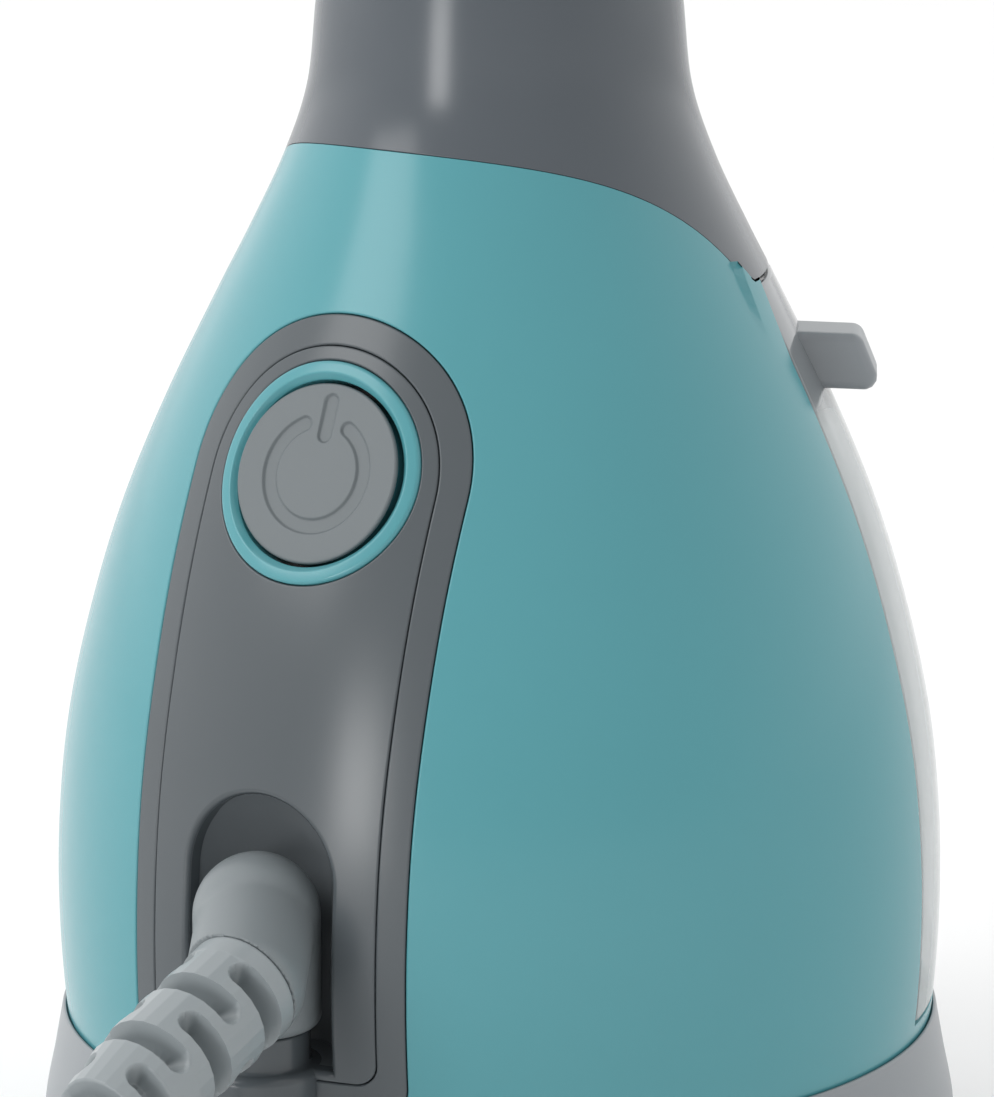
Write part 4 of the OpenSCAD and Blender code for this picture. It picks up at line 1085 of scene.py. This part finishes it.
# Other CAD parts keep their own meshes and get materials by slot.
SLOT_LOOKS = {
    "teal_shell": "teal",
    "grip_grey": "dark_grey",
    "panel_grey": "mid_grey",
    "light_grey": "light_grey",
    "clear_tank": "clear",
    "soft_black": "rubber",
    "white_plastic": "white",
    "bright_steel": "metal",
    "boiler_alloy": "alloy",
    "plate_alloy": "alloy",
    "brass": "brass",
    "amber_lens": "amber",
    "board_green": "board",
}
node_slots = {s["node"]: s["material_slot"] for s in frame["record"]["subparts"]}
for node_name, node in frame["nodes"].items():
    node.data.materials.clear()
    node.data.materials.append(MATS[SLOT_LOOKS[node_slots[node_name]]])

# ---- camera, light and floor ----

CAM_AZ = math.radians(212)
CAM_EL = math.radians(14)
CAM_DISTANCE = 0.9
away = Vector((math.sin(CAM_AZ) * math.cos(CAM_EL), -math.cos(CAM_AZ) * math.cos(CAM_EL), math.sin(CAM_EL)))
right = Vector((math.cos(CAM_AZ), math.sin(CAM_AZ), 0))
target = Vector((0, 0, 0.093)) - right * 0.000355
cam_data = bpy.data.cameras.new("camera")
cam_data.lens = 36 * 6345 / 1097
cam_data.sensor_width = 36
cam_data.clip_end = 20
cam = bpy.data.objects.new("camera", cam_data)
cam.location = target + away * CAM_DISTANCE
cam.rotation_euler = (-away).to_track_quat("-Z", "Y").to_euler()
bpy.context.collection.objects.link(cam)
bpy.context.scene.camera = cam

FLOOR_HALF = 6000
FLOOR_Z = -0.3
floor_corners = [(x * FLOOR_HALF, y * FLOOR_HALF, FLOOR_Z) for x, y in ((-1, -1), (1, -1), (1, 1), (-1, 1))]
floor = make_object("floor", floor_corners, [(0, 1, 2, 3)])
floor.data.materials.append(plastic("floor", (0.9, 0.9, 0.9, 1), roughness=0.6, grain=0.0, tint=0.005))

world = bpy.data.worlds.new("studio")
bpy.context.scene.world = world
world.use_nodes = True
sky_nodes, sky_links = world.node_tree.nodes, world.node_tree.links
sky_where = sky_nodes.new("ShaderNodeTexCoord")
sky_dot = sky_nodes.new("ShaderNodeVectorMath")
sky_dot.operation = "DOT_PRODUCT"
sky_dot.inputs[1].default_value = away
sky_links.new(sky_where.outputs["Generated"], sky_dot.inputs[0])
# The studio is darker behind the camera than round the sides.
sky_level = sky_nodes.new("ShaderNodeMapRange")
sky_level.interpolation_type = "SMOOTHSTEP"
sky_level.inputs["From Min"].default_value = -0.35
sky_level.inputs["From Max"].default_value = 0.85
sky_level.inputs["To Min"].default_value = 1.35
sky_level.inputs["To Max"].default_value = 0.62
sky_links.new(sky_dot.outputs["Value"], sky_level.inputs["Value"])
# Seen straight by the camera, it is plain white.
sky_ray = sky_nodes.new("ShaderNodeLightPath")
sky_seen = sky_nodes.new("ShaderNodeMix")
sky_seen.inputs["B"].default_value = 1.0
sky_links.new(sky_ray.outputs["Is Camera Ray"], sky_seen.inputs["Factor"])
sky_links.new(sky_level.outputs["Result"], sky_seen.inputs["A"])
sky_links.new(sky_seen.outputs["Result"], sky_nodes["Background"].inputs["Strength"])
sky_nodes["Background"].inputs["Color"].default_value = (1, 1, 1, 1)
bpy.context.scene.view_settings.view_transform = "Standard"


def area(name, location, aim, width, height, watts, colour=(1, 1, 1)):
    data = bpy.data.lights.new(name, "AREA")
    data.shape = "RECTANGLE"
    data.size = width
    data.size_y = height
    data.energy = watts
    data.color = colour
    obj = bpy.data.objects.new(name, data)
    obj.location = location
    obj.rotation_euler = (Vector(aim) - Vector(location)).to_track_quat("-Z", "Y").to_euler()
    bpy.context.collection.objects.link(obj)
    return obj


area("key", target + away * 0.6 - right * 1.2 + Vector((0, 0, 0.9)), target, 0.8, 1.2, 9)
area("panel_box", target + Vector((0.09, 1.2, 0.02)), target, 0.24, 0.45, 2.6)
